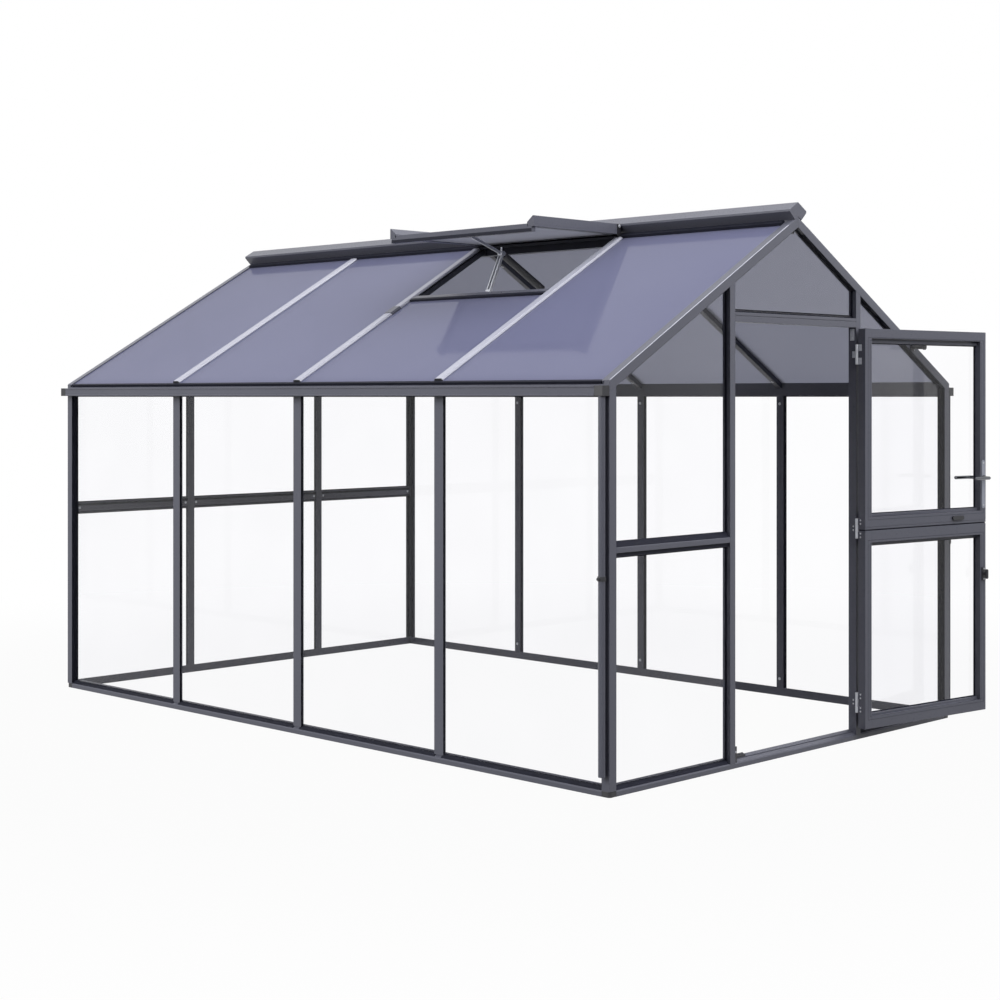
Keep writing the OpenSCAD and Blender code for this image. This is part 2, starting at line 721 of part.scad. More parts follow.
hinge_zs = [low_hinge_z, split_z + leaf_gap, upper_z1 - top_hinge_drop];
module jamb_hinges() { color(silver_col) for (z = hinge_zs) jamb_hinge(z); }

// Strike plate on the hinge jamb's head, and a stop and a long toe on the sill at the free jamb
module jamb_strikes() {
  strike_h = 52;
  strike_w = 22;
  stop_h = 46;
  stop_w = 14;
  stop_d = sill_nose + 12;
  toe_l = 100;
  toe_t = 6;
  toe_d = frame_d * 0.6;
  color(silver_col) {
    translate([reveal_x - plate_w, front_y + frame_d / 2 - strike_w / 2, lintel_z - leaf_gap - strike_h])
      cube([plate_w, strike_w, strike_h]);
    along_front(-reveal_x, -reveal_x + stop_w)
      polygon([[sill_nose, sill_z(sill_nose)], [stop_d, sill_z(stop_d)], [stop_d, base_h + stop_h],
               [sill_nose, base_h + stop_h]]);
    along_front(-reveal_x, -reveal_x + toe_l)
      polygon([[toe_d, sill_z(toe_d)], [frame_d, base_h], [frame_d, base_h + toe_t],
               [toe_d, sill_z(toe_d) + toe_t]]);
  }
}

// Catch on the front rafter that holds the opened upper leaf, short of its face
catch_h = 32;
catch_t = 4;
catch_gap = 6;
catch_stem_r = 10;
catch_pad_r = 13;
catch_pad_t = 10;
function open_face_y(x) = hinge_y - (x - hinge_x) * tan(180 - open_angle) - (leaf_y0 - hinge_y);
module door_catch() {
  z = under_z(catch_x, rafter_h / 2);
  tip_y = open_face_y(catch_x - catch_h / 2) + catch_gap;
  color(black_col) {
    translate([catch_x - catch_h / 2, front_y - catch_t, z - catch_h / 2]) cube([catch_h, catch_t, catch_h]);
    translate([catch_x, front_y - catch_t / 2, z]) rotate([90, 0, 0])
      cylinder(r = catch_stem_r, h = front_y - catch_t / 2 - tip_y);
    translate([catch_x, tip_y + catch_pad_t, z]) rotate([90, 0, 0]) cylinder(r = catch_pad_r, h = catch_pad_t);
  }
}

// Door leaves: all pieces are drawn in the closed place and swung to the open one
module swung_open() {
  translate([hinge_x, hinge_y, 0]) rotate(open_angle) translate([-hinge_x, -hinge_y, 0]) children();
}
module stile(x, w, z0, z1, slot_at) {
  translate([x, leaf_y0, z0]) linear_extrude(z1 - z0) difference() {
    square([w, leaf_d]);
    translate([slot_at, leaf_slot0]) square([groove + 1, leaf_slot1 - leaf_slot0]);
  }
}
module leaf_stiles(z0, z1) {
  stile(leaf_x1 - hinge_stile, hinge_stile, z0, z1, -1);
  stile(leaf_x0, free_stile, z0, z1, free_stile - groove);
}
rail_x0 = leaf_x0 + free_stile;
rail_x1 = leaf_x1 - hinge_stile;
// Runs a section (depth from the outer face, height from the leaf's edge) between the stiles
module leaf_rail(z, up) {
  translate([rail_x0, leaf_y0, z]) rotate([90, 0, 90]) linear_extrude(rail_x1 - rail_x0)
    mirror([0, up ? 0 : 1]) children();
}
// Rail with a shallower bead beside the pane
module rail_section(h, bead) {
  top = h + bead;
  polygon([[0, 0], [leaf_d, 0], [leaf_d, h], [bead_d, h], [bead_d, top], [leaf_slot1, top],
           [leaf_slot1, top - groove], [leaf_slot0, top - groove], [leaf_slot0, top], [0, top]]);
}
lip_bead = 13;
module leaf_pane(z0, z1) {
  edge = groove - edge_gap;
  translate([rail_x0 - edge, leaf_y0 + leaf_slot0 + pane_play, z0 - edge])
    cube([rail_x1 - rail_x0 + 2 * edge, pane, z1 - z0 + 2 * edge]);
}
// Hole through the free stile for the lever spindle
module spindle_hole() {
  translate([spindle_x, leaf_y1 + margin, lever_z]) rotate([90, 0, 0])
    cylinder(r = lever_r + spindle_play, h = leaf_d + 2 * margin);
}

// Shadow line across the inner face, just over the gap between the leaves
module split_line() {
  line_d = 1.5;
  translate([leaf_x0 - 1, leaf_y1 - line_d, upper_z0 + 8]) cube([leaf_x1 - leaf_x0 + 2, line_d + 1, 2.5]);
}
module upper_leaf_stiles() {
  color(frame_col) swung_open() difference() {
    leaf_stiles(upper_z0, upper_z1);
    spindle_hole();
    split_line();
  }
}
module upper_leaf_rails() {
  color(frame_col) swung_open() {
    difference() {
      leaf_rail(upper_z0, true) rail_section(lock_rail, lip_bead);
      split_line();
    }
    leaf_rail(upper_z1, false) rail_section(top_rail, top_bead);
  }
}
module upper_leaf_glass() {
  color(glass_col) swung_open()
    leaf_pane(upper_z0 + lock_rail + lip_bead, upper_z1 - top_rail - top_bead);
}
module upper_leaf_hinges() {
  color(silver_col) swung_open() {
    leaf_knuckle(hinge_zs[1], 1);
    for (up = [-1, 1]) leaf_knuckle(hinge_zs[2], up);
  }
}
// Narrow round-ended plates inside and outside, joined through the stile by the spindle
module handle_plates() {
  plate_l = 226;
  plate_b = 24;
  z0 = lever_z - 143 + plate_b / 2;
  z1 = z0 + plate_l - plate_b;
  color(silver_col) swung_open() difference() {
    for (y = [leaf_y0, leaf_y1 + plate_t])
      translate([spindle_x, y, 0]) rotate([90, 0, 0]) linear_extrude(plate_t) {
        for (z = [z0, z1]) translate([0, z]) circle(d = plate_b);
        translate([-plate_b / 2, z0]) square([plate_b, z1 - z0]);
      }
    spindle_hole();
  }
}
// Oval bolt that couples the two leaves
module leaf_bolt() {
  bolt_l = 83;
  bolt_w = 19;
  bolt_t = 8;
  from_edge = 166;
  color(black_col) swung_open() translate([leaf_x0 + from_edge + bolt_w / 2, leaf_y1, upper_z0 + lock_rail / 2])
    rotate([-90, 0, 0]) linear_extrude(bolt_t) {
      for (x = [0, bolt_l - bolt_w]) translate([x, 0]) circle(d = bolt_w);
      translate([0, -bolt_w / 2]) square([bolt_l - bolt_w, bolt_w]);
    }
}

module lower_leaf_stiles() { color(frame_col) swung_open() leaf_stiles(lower_z0, lower_z1); }
module lower_leaf_rails() {
  color(frame_col) swung_open() {
    leaf_rail(lower_z0, true) rail_section(kick_rail, lip_bead);
    leaf_rail(lower_z1, false) rail_section(lock_rail, lip_bead);
  }
}
module lower_leaf_glass() {
  color(glass_col) swung_open()
    leaf_pane(lower_z0 + kick_rail + lip_bead, lower_z1 - lock_rail - lip_bead);
}
module lower_leaf_hinges() {
  color(silver_col) swung_open() {
    leaf_knuckle(hinge_zs[1], -1);
    for (up = [-1, 1]) leaf_knuckle(hinge_zs[0], up);
  }
}
// Turn-button on the lower leaf: a plate, a stem and an upright grip with round ends
module latch_knob() {
  back_l = 61;
  back_w = 24;
  back_t = 6;
  stem_r = 8;
  grip_r = 7.5;
  grip_l = 46;
  grip_out = 22;
  color(black_col) swung_open() translate([spindle_x, leaf_y1, knob_z]) {
    translate([-back_w / 2, 0, -back_l / 2]) cube([back_w, back_t, back_l]);
    rotate([-90, 0, 0]) cylinder(r = stem_r, h = grip_out);
    translate([0, grip_out, grip_r - grip_l / 2]) {
      cylinder(r = grip_r, h = grip_l - 2 * grip_r);
      for (z = [0, grip_l - 2 * grip_r]) translate([0, 0, z]) sphere(grip_r);
    }
  }
}

// Levers inside and outside on one spindle: a collar, a neck, a bend to the hinge side and a round-ended grip
module lever_bend() {
  bend = lever_r * 1.5;
  translate([bend, -bend, 0]) rotate(90) rotate_extrude(angle = 90) translate([bend, 0]) circle(lever_r);
  translate([bend, 0, 0]) rotate([0, 90, 0]) cylinder(r = lever_r, h = lever_l - lever_r - bend);
  translate([lever_l - lever_r, 0, 0]) sphere(lever_r);
}
module lever_handle() {
  bend = lever_r * 1.5;
  reach = plate_t + lever_out;
  neck = reach - bend;
  collar_r = 12;
  collar_h = 8;
  mid_y = (leaf_y0 + leaf_y1) / 2;
  color(silver_col) swung_open() translate([spindle_x, mid_y, lever_z]) {
    rotate([90, 0, 0]) cylinder(r = lever_r, h = leaf_d + 2 * neck, center = true);
    for (side = [0, 1]) mirror([0, side, 0]) {
      translate([0, leaf_d / 2 + plate_t + spindle_play, 0]) rotate([-90, 0, 0])
        cylinder(r = collar_r, h = collar_h);
      translate([0, leaf_d / 2 + reach, 0]) lever_bend();
    }
  }
}

base_corner_feet();
front_base_rail();
back_base_rail();
side_base_rails();
corner_posts();
door_jambs();
door_lintel();
wall_glazing_bars();
back_gable_bars();
gable_mid_rails();
left_gutter();
right_gutter();
gutter_ends();
downpipes();
pipe_clips();
left_rafters();
right_rafters();
ridge_beam();
roof_glazing_bars();
roof_bar_caps();
left_wall_glass();
right_wall_glass();
front_gable_glass();
back_gable_glass();
left_roof_sheets();
right_roof_sheets();
vent_sill();
vent_hinge_rail();
vent_side_rails();
vent_bottom_rail();
vent_sheet();
vent_opener_arms();
vent_opener_tube();
jamb_hinges();
jamb_strikes();
door_catch();
upper_leaf_stiles();
upper_leaf_rails();
upper_leaf_glass();
upper_leaf_hinges();
handle_plates();
leaf_bolt();
lower_leaf_stiles();
lower_leaf_rails();
lower_leaf_glass();
lower_leaf_hinges();
latch_knob();
lever_handle();
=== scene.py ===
import math

import bmesh
import bpy
from mathutils import Matrix, Vector


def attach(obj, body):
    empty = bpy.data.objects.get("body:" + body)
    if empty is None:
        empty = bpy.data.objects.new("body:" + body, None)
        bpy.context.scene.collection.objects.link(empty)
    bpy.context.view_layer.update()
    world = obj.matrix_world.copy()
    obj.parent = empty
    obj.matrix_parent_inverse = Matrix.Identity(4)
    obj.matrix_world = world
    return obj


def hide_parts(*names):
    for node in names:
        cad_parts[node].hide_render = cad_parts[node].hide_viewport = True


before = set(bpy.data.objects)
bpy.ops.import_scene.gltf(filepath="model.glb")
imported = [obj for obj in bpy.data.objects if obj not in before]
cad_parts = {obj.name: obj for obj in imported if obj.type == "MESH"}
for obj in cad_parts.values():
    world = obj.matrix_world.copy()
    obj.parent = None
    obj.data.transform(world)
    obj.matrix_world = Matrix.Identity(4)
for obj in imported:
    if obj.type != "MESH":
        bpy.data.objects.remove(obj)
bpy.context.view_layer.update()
scene = bpy.context.scene
scene.view_settings.view_transform = "Standard"

# Camera: stands level at eave height off the front left corner. The lens is moved down behind the
# film, so that the posts stay upright as they are in the photograph.
camera_data = bpy.data.cameras.new("camera")
camera_data.lens = 65.58
camera_data.sensor_width = 36.0
camera_data.shift_y = -0.104
camera_data.clip_end = 200.0
camera = bpy.data.objects.new("camera", camera_data)
scene.collection.objects.link(camera)
camera.location = (-6.4225, -4.578, 1.525)
looking = Vector((0.71157, 0.7026, 0.0))
camera.rotation_euler = looking.to_track_quat("-Z", "Y").to_euler()
scene.camera = camera


# Studio: a white sweep under a soft sky that is brightest overhead, with soft boxes round the
# building. The eye sees plain white, straight, mirrored or through glass, and the floor still takes
# the building's soft shadow.
def linear(hexcode):
    """Turns an sRGB hex colour into the linear colour that a socket takes."""
    channels = [int(hexcode[i:i + 2], 16) / 255 for i in (1, 3, 5)]
    return [c / 12.92 if c <= 0.04045 else ((c + 0.055) / 1.055) ** 2.4 for c in channels] + [1.0]


def put(tree, kind, inputs=None, **settings):
    """Adds one node: settings are its properties, and inputs take a value or an output to link."""
    made = tree.nodes.new(kind)
    for name, value in settings.items():
        setattr(made, name, value)
    for name, value in (inputs or {}).items():
        if isinstance(value, bpy.types.NodeSocket):
            tree.links.new(value, made.inputs[name])
        else:
            made.inputs[name].default_value = value
    return made


def eye_rays(tree):
    """Finds the rays that go from the eye to the white: straight, mirrored or through glass."""
    path = put(tree, "ShaderNodeLightPath").outputs
    direct = put(tree, "ShaderNodeMath", {0: path["Diffuse Depth"], 1: 0.5}, operation="LESS_THAN")
    turned = put(tree, "ShaderNodeMath", {0: path["Is Glossy Ray"], 1: path["Is Transmission Ray"]},
                 operation="MAXIMUM")
    passed = put(tree, "ShaderNodeMath", {0: turned.outputs[0], 1: direct.outputs[0]},
                 operation="MULTIPLY")
    return put(tree, "ShaderNodeMath", {0: path["Is Camera Ray"], 1: passed.outputs[0]},
               operation="MAXIMUM")


SKY_LOW = 0.10
SKY_HIGH = 0.90
WHITE = (1, 1, 1, 1)
world = bpy.data.worlds.new("white studio")
world.use_nodes = True
scene.world = world
tree = world.node_tree
tree.nodes.clear()
seen = eye_rays(tree)
around = put(tree, "ShaderNodeTexCoord").outputs["Generated"]
aloft = put(tree, "ShaderNodeSeparateXYZ", {0: around})
power = put(tree, "ShaderNodeMapRange",
            {"Value": aloft.outputs["Z"], "To Min": SKY_LOW, "To Max": SKY_HIGH})
ambient = put(tree, "ShaderNodeBackground",
              {"Color": linear("#f1f3ff"), "Strength": power.outputs["Result"]})
backdrop = put(tree, "ShaderNodeBackground", {"Color": WHITE, "Strength": 1.0})
sky = put(tree, "ShaderNodeMixShader",
          {0: seen.outputs[0], 1: ambient.outputs[0], 2: backdrop.outputs[0]})
put(tree, "ShaderNodeOutputWorld", {"Surface": sky.outputs[0]})

FLOOR_HALF = 60.0
FLOOR_DROP = 0.001
SHADOW_FULL = 2.5  # the floor takes the soft shadow this far from the building's middle
SHADOW_NONE = 6.0
bm = bmesh.new()
bmesh.ops.create_grid(bm, x_segments=1, y_segments=1, size=FLOOR_HALF)
floor_mesh = bpy.data.meshes.new("floor")
bm.to_mesh(floor_mesh)
bm.free()
floor = bpy.data.objects.new("floor", floor_mesh)
scene.collection.objects.link(floor)
floor.location = (0.0, 1.86, -FLOOR_DROP)
paper = bpy.data.materials.new("White studio paper")
paper.use_nodes = True
tree = paper.node_tree
tree.nodes.clear()
seen = eye_rays(tree)
spot = put(tree, "ShaderNodeTexCoord").outputs["Object"]
away = put(tree, "ShaderNodeVectorMath", {0: spot}, operation="LENGTH")
fade = put(tree, "ShaderNodeMapRange",
           {"Value": away.outputs["Value"], "From Min": SHADOW_FULL, "From Max": SHADOW_NONE,
            "To Min": 0.965, "To Max": 1.0}, interpolation_type="SMOOTHSTEP")
share = put(tree, "ShaderNodeMath", {0: seen.outputs[0], 1: fade.outputs["Result"]},
            operation="MULTIPLY")
plain = put(tree, "ShaderNodeBsdfDiffuse", {"Color": (0.045, 0.045, 0.046, 1), "Roughness": 0.0})
glow = put(tree, "ShaderNodeEmission", {"Color": WHITE, "Strength": 1.0})
sweep = put(tree, "ShaderNodeMixShader",
            {0: share.outputs[0], 1: plain.outputs[0], 2: glow.outputs[0]})
put(tree, "ShaderNodeOutputMaterial", {"Surface": sweep.outputs[0]})
floor_mesh.materials.append(paper)

# Each box has a place, an aim, a side and a power. Mirror rays see only two of them, because the
# polished roof would glare.
SOFT_BOXES = (
    ("key_soft_box", (0.0, -4.6, 5.6), (0.2, 0.0, 1.5), 4.6, 430.0, False),
    ("left_soft_box", (-8.0, 2.6, 4.3), (0.0, 1.6, 1.3), 5.0, 670.0, True),
    ("right_soft_box", (6.3, -0.6, 6.2), (0.2, 0.8, 1.8), 5.6, 980.0, False),
    ("top_soft_box", (0.6, 0.4, 7.5), (-0.2, 1.0, 1.9), 3.0, 150.0, True),
    ("back_soft_box", (0.5, 9.4, 3.6), (0.0, 3.7, 1.2), 5.0, 330.0, False),
)
for name, place, aim, side, watts, mirrored in SOFT_BOXES:
    lamp_data = bpy.data.lights.new(name, "AREA")
    lamp_data.size = side
    lamp_data.energy = watts
    lamp = bpy.data.objects.new(name, lamp_data)
    scene.collection.objects.link(lamp)
    lamp.location = place
    lamp.rotation_euler = (Vector(aim) - Vector(place)).to_track_quat("-Z", "Y").to_euler()
    lamp.visible_camera = False
    lamp.visible_transmission = False
    lamp.visible_glossy = mirrored


# Base rails and upright frame: extruded aluminium sections, cut to length and bolted together, with
# the small corner radius that an extrusion die leaves. Anthracite polyester powder is sprayed on and
# baked.
def finish(name):
    """Starts a material: gives it, its node tree, its main shader and the place on the piece."""
    made = bpy.data.materials.new(name)
    made.use_nodes = True
    tree = made.node_tree
    spot = put(tree, "ShaderNodeTexCoord").outputs["Object"]
    return made, tree, tree.nodes["Principled BSDF"], spot


# Powder coat: a satin skin with a faint orange peel. Edges catch a soft light line, and broad faces
# vary slightly in tone.
coat, tree, skin, spot = finish("Anthracite polyester powder coat")
TONE_DRIFT = 0.6  # how far apart the slight changes of tone lie
PEEL = 0.005  # real orange peel is 1 to 2 mm across, and is drawn coarser so that it shows
drift = put(tree, "ShaderNodeTexNoise", {"Vector": spot, "Scale": 1 / TONE_DRIFT, "Detail": 2.0})
tone = put(tree, "ShaderNodeMix",
           {"Factor": drift.outputs["Fac"], "A": linear("#4b4c55"), "B": linear("#55565f")},
           data_type="RGBA")
tree.links.new(tone.outputs["Result"], skin.inputs["Base Color"])
skin.inputs["Specular IOR Level"].default_value = 0.25
peel = put(tree, "ShaderNodeTexNoise", {"Vector": spot, "Scale": 1 / PEEL, "Detail": 2.0})
gloss = put(tree, "ShaderNodeMapRange",
            {"Value": peel.outputs["Fac"], "To Min": 0.24, "To Max": 0.34})
tree.links.new(gloss.outputs["Result"], skin.inputs["Roughness"])
dimple = put(tree, "ShaderNodeBump",
             {"Height": peel.outputs["Fac"], "Strength": 0.1, "Distance": 0.0003})
tree.links.new(dimple.outputs["Normal"], skin.inputs["Normal"])


def eased(name, radius, material, body="root"):
    """Shows a CAD node by a copy whose sharp corners are rounded, as the die or mould leaves them."""
    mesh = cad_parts[name].data.copy()
    bm = bmesh.new()
    bm.from_mesh(mesh)
    bmesh.ops.remove_doubles(bm, verts=bm.verts, dist=1e-5)
    bmesh.ops.dissolve_limit(bm, angle_limit=math.radians(0.4), verts=bm.verts, edges=bm.edges)
    bm.to_mesh(mesh)
    bm.free()
    mesh.materials.clear()
    mesh.materials.append(material)
    mesh.shade_smooth()
    mesh.set_sharp_from_angle(angle=math.radians(30))
    piece = bpy.data.objects.new(name + "_eased", mesh)
    scene.collection.objects.link(piece)
    corner = piece.modifiers.new("rounded_corners", "BEVEL")
    corner.width = radius
    corner.segments = 2
    corner.limit_method = "ANGLE"
    corner.angle_limit = math.radians(30)
    corner.harden_normals = True
    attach(piece, body)
    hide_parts(name)
    return piece


DIE_RADIUS = 0.0012
for name in ("front_base_rail", "back_base_rail", "side_base_rails", "corner_posts", "door_jambs",
             "door_lintel", "wall_glazing_bars", "back_gable_bars", "gable_mid_rails"):
    eased(name, DIE_RADIUS, coat)

# Corner feet: low sockets that the posts and base rails plug into. They are moulded in black nylon
# and show as a dark step at each corner of the base.
moulding, tree, skin, spot = finish("Black moulded nylon")
# Spark-eroded grain from the mould: dull black with a soft sheen.
GRAIN = 0.003  # real grain is 0.3 mm, and is drawn coarser so that it shows
grain = put(tree, "ShaderNodeTexNoise", {"Vector": spot, "Scale": 1 / GRAIN, "Detail": 4.0})
tone = put(tree, "ShaderNodeMix",
           {"Factor": grain.outputs["Fac"], "A": linear("#18181b"), "B": linear("#26262b")},
           data_type="RGBA")
tree.links.new(tone.outputs["Result"], skin.inputs["Base Color"])
gloss = put(tree, "ShaderNodeMapRange",
            {"Value": grain.outputs["Fac"], "To Min": 0.42, "To Max": 0.6})
tree.links.new(gloss.outputs["Result"], skin.inputs["Roughness"])
dimple = put(tree, "ShaderNodeBump",
             {"Height": grain.outputs["Fac"], "Strength": 0.25, "Distance": 0.0003})
tree.links.new(dimple.outputs["Normal"], skin.inputs["Normal"])
MOULD_RADIUS = 0.0015
eased("base_corner_feet", MOULD_RADIUS, moulding)

# Gutters: the eave beam and its trough are one coated extrusion, with moulded ends. A round downpipe
# hangs from each front outlet and is clipped to the corner post.
for name in ("left_gutter", "right_gutter", "downpipes"):
    eased(name, DIE_RADIUS, coat)
for name in ("gutter_ends", "pipe_clips"):
    eased(name, MOULD_RADIUS, moulding)

# Roof frame: gable rafters, glazing bars and a raised ridge. All are coated extrusions, cut to the
# slope and bolted at the eaves and the ridge.
for name in ("left_rafters", "right_rafters", "ridge_beam", "roof_glazing_bars"):
    eased(name, DIE_RADIUS, coat)

# Cap strips: light extruded strips snapped over the roof bars to hold the sheets down. Each end is
# closed by a dark plug, and a short dark coated block sits across one strip just below the vent's sill.
# A pale bead along each verge is a painted highlight on the rafter's rounded outer edge.
strip_and_highlight_skin, tree, skin, spot = finish("Light grey extruded strip and painted highlight")
# Pale satin plastic drawn through a die: fine lines run up the slope.
DIE_LINE = 0.002  # spacing of the die lines across the strip
ALONG_LINE = 1.5  # changes of tone in a metre along the strip
across = put(tree, "ShaderNodeMapping",
             {"Vector": spot, "Scale": (ALONG_LINE, 1 / DIE_LINE, ALONG_LINE)})
lines = put(tree, "ShaderNodeTexNoise",
            {"Vector": across.outputs["Vector"], "Scale": 1.0, "Detail": 2.0})
tone = put(tree, "ShaderNodeMix",
           {"Factor": lines.outputs["Fac"], "A": linear("#8b8c97"), "B": linear("#9a9ba6")},
           data_type="RGBA")
tree.links.new(tone.outputs["Result"], skin.inputs["Base Color"])
skin.inputs["Roughness"].default_value = 0.34
scratch = put(tree, "ShaderNodeBump",
              {"Height": lines.outputs["Fac"], "Strength": 0.1, "Distance": 0.0003})
tree.links.new(scratch.outputs["Normal"], skin.inputs["Normal"])
eased("roof_bar_caps", DIE_RADIUS, strip_and_highlight_skin)

HALF_W = 1.220
FRONT_Y = -0.024
BACK_Y = 3.744
EAVE_TOP = 1.586
PITCH = math.radians(30)
BAR_YS = (0.93, 1.86, 2.79)


def slope(side):
    """Places (run up the slope, height over the roof plane, length of the house) on one slope."""
    def spot_on(u, z, d):
        level = HALF_W - u * math.cos(PITCH) + z * math.sin(PITCH)
        return Vector((side * level, d, EAVE_TOP + u * math.sin(PITCH) + z * math.cos(PITCH)))
    return spot_on


def prism(bm, section, u0, u1, place):
    """Runs a section, given as (depth, height) points, from u0 to u1."""
    ends = [[bm.verts.new(place(u, z, d)) for d, z in section] for u in (u0, u1)]
    bm.faces.new(ends[0])
    bm.faces.new(ends[1])
    for i in range(len(section)):
        bm.faces.new((ends[0][i - 1], ends[0][i], ends[1][i], ends[1][i - 1]))


def settle(bm, name, material, body="root"):
    """Turns a built mesh into a piece that rides on a body."""
    bmesh.ops.recalc_face_normals(bm, faces=bm.faces)
    mesh = bpy.data.meshes.new(name)
    bm.to_mesh(mesh)
    bm.free()
    mesh.materials.append(material)
    piece = bpy.data.objects.new(name, mesh)
    scene.collection.objects.link(piece)
    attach(piece, body)
    return piece


def strip_section(half, foot, shoulder, top, bevel=0.006):
    """Section of a strip with sloping shoulders, as (along the house, over the roof plane)."""
    flat = half - bevel
    return ((-half, foot), (half, foot), (half, shoulder), (flat, top), (-flat, top),
            (-half, shoulder))


EDGE_RADIUS = 0.005  # rounding of the rafter's outer edge, which the painted-highlight bead lies on
HIGHLIGHT_BEAD = 0.0006  # the bead stands this far out of the edge, and is sunk as far into it
HIGHLIGHT_BEAD_POINTS = ((HIGHLIGHT_BEAD, 30), (HIGHLIGHT_BEAD, 45), (HIGHLIGHT_BEAD, 60), (-HIGHLIGHT_BEAD, 60), (-HIGHLIGHT_BEAD, 30))
VERGE_RUN = (0.004, 1.330)
# Painted highlight: a pale bead along each verge stands for the light that the rafter's rounded outer
# edge catches.
bm = bmesh.new()
for side in (-1, 1):
    for y, out in ((FRONT_Y + EDGE_RADIUS, -1), (BACK_Y - EDGE_RADIUS, 1)):
        section = []
        for proud, degrees in HIGHLIGHT_BEAD_POINTS:
            angle = math.radians(degrees)
            radius = EDGE_RADIUS + proud
            section.append((y + out * radius * math.cos(angle), radius * math.sin(angle) - EDGE_RADIUS))
        prism(bm, section, *VERGE_RUN, slope(side))
settle(bm, "verge_highlight_beads", strip_and_highlight_skin)

PLUG = strip_section(half=0.024, foot=-0.005, shoulder=-0.0013, top=0.006)
PLUG_RUNS = ((0.0105, 0.0138), (1.3327, 1.3360))
bm = bmesh.new()
for side in (-1, 1):
    for y in BAR_YS:
        for u0, u1 in PLUG_RUNS:
            prism(bm, [(y + d, z) for d, z in PLUG], u0, u1, slope(side))
settle(bm, "cap_strip_plugs", moulding)

# A short dark coated block sits across the middle bar's cap strip just below the vent's sill, and shows
# there as a dark patch.
STRIP_DARK_BLOCK = strip_section(half=0.027, foot=-0.0048, shoulder=0.001, top=0.0085)
STRIP_DARK_BLOCK_RUN = (0.653, 0.717)
bm = bmesh.new()
prism(bm, [(BAR_YS[1] + d, z) for d, z in STRIP_DARK_BLOCK], *STRIP_DARK_BLOCK_RUN, slope(-1))
settle(bm, "cap_strip_dark_block", coat)


# Wall bar caps: thin aluminium strips, coated as the frame is. They clip over the outside of the wall
# bars and press the panes into their beds.
def wall(axis, side):
    """Places (run along a wall, height, depth in from its outer face) on a side wall or a gable."""
    def spot_on(u, z, d):
        if axis == "x":
            return Vector((side * (HALF_W - d), u, z))
        return Vector((u, FRONT_Y + d if side < 0 else BACK_Y - d, z))
    return spot_on


def oblong(d0, d1, z0, z1):
    """A plain four-sided section, as (depth, height) points."""
    return ((d0, z0), (d1, z0), (d1, z1), (d0, z1))


EAVE_H = 1.525
BAR_CAP_HALF = 0.027
BAR_CAP_FOOT = 0.0325
BAR_CAP_DEPTHS = (0.0125, 0.0142)
bm = bmesh.new()
for side in (-1, 1):
    for y in BAR_YS:
        prism(bm, oblong(*BAR_CAP_DEPTHS, BAR_CAP_FOOT, EAVE_H), y - BAR_CAP_HALF, y + BAR_CAP_HALF,
              wall("x", side))
settle(bm, "wall_bar_caps", coat)

# Wall panes: clear 4 mm toughened float glass, held in the grooves of the bars by black rubber. Broad
# dark strips lie on the sills and on the mid-rails, so that their sloped tops and lower lips show dark.
# Thin black linings on the posts' reveals and the rafters' undersides are painted shade.
float_glass, tree, skin, spot = finish("Clear toughened float glass")
# Almost colourless, with a faint, sharp reflection. Lamps shine through it.
ROLLER = 0.35  # spacing of the faint roller waves that toughening leaves
wave = put(tree, "ShaderNodeTexNoise", {"Vector": spot, "Scale": 1 / ROLLER, "Detail": 1.0})
tint = put(tree, "ShaderNodeMix",
           {"Factor": wave.outputs["Fac"], "A": linear("#fbfbfc"), "B": linear("#fefeff")},
           data_type="RGBA")
tree.links.new(tint.outputs["Result"], skin.inputs["Base Color"])
skin.inputs["Transmission Weight"].default_value = 1.0
skin.inputs["Roughness"].default_value = 0.0
skin.inputs["IOR"].default_value = 1.2  # below real glass, because these panes hardly reflect
path = put(tree, "ShaderNodeLightPath")
clear = put(tree, "ShaderNodeBsdfTransparent", {"Color": linear("#c6c6ca")})
pane_skin = put(tree, "ShaderNodeMixShader",
                {0: path.outputs["Is Shadow Ray"], 1: skin.outputs[0], 2: clear.outputs[0]})
tree.links.new(pane_skin.outputs[0], tree.nodes["Material Output"].inputs["Surface"])
for name in ("left_wall_glass", "right_wall_glass", "front_gable_glass", "back_gable_glass",
             "upper_leaf_glass", "lower_leaf_glass"):
    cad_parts[name].material_slots[0].material = float_glass

rubber_and_shade, tree, skin, spot = finish("Black extruded rubber and painted shade")
# Dull blue-black with a faint bloom, so that the panes are edged by dark lines. It also lines shaded
# reveals and rafter undersides as painted shade.
BLOOM = 0.05  # size of a patch of bloom
bloom = put(tree, "ShaderNodeTexNoise", {"Vector": spot, "Scale": 1 / BLOOM, "Detail": 4.0})
tone = put(tree, "ShaderNodeMix",
           {"Factor": bloom.outputs["Fac"], "A": linear("#15161e"), "B": linear("#22232d")},
           data_type="RGBA")
tree.links.new(tone.outputs["Result"], skin.inputs["Base Color"])
skin.inputs["Specular IOR Level"].default_value = 0.12
gloss = put(tree, "ShaderNodeMapRange",
            {"Value": bloom.outputs["Fac"], "To Min": 0.5, "To Max": 0.7})
tree.links.new(gloss.outputs["Result"], skin.inputs["Roughness"])


def inset(outline, width):
    """Moves every side of an anticlockwise outline inwards."""
    moved = []
    for i, here in enumerate(outline):
        here = Vector(here)
        one = (here - Vector(outline[i - 1])).normalized()
        two = (Vector(outline[(i + 1) % len(outline)]) - here).normalized()
        across = Vector((-one.y, one.x)) + Vector((-two.y, two.x))
        moved.append(here + across * (2 * width / across.length_squared))
    return moved


def bead(bm, outline, width, d0, d1, place):
    """Runs a strip round the inside of an opening, between two depths."""
    inner = inset(outline, width)
    loops = [[bm.verts.new(place(p[0], p[1], d)) for p in points]
             for points, d in ((outline, d0), (outline, d1), (inner, d1), (inner, d0))]
    for i in range(len(outline)):
        for a in range(4):
            bm.faces.new((loops[a - 1][i - 1], loops[a - 1][i], loops[a][i], loops[a][i - 1]))


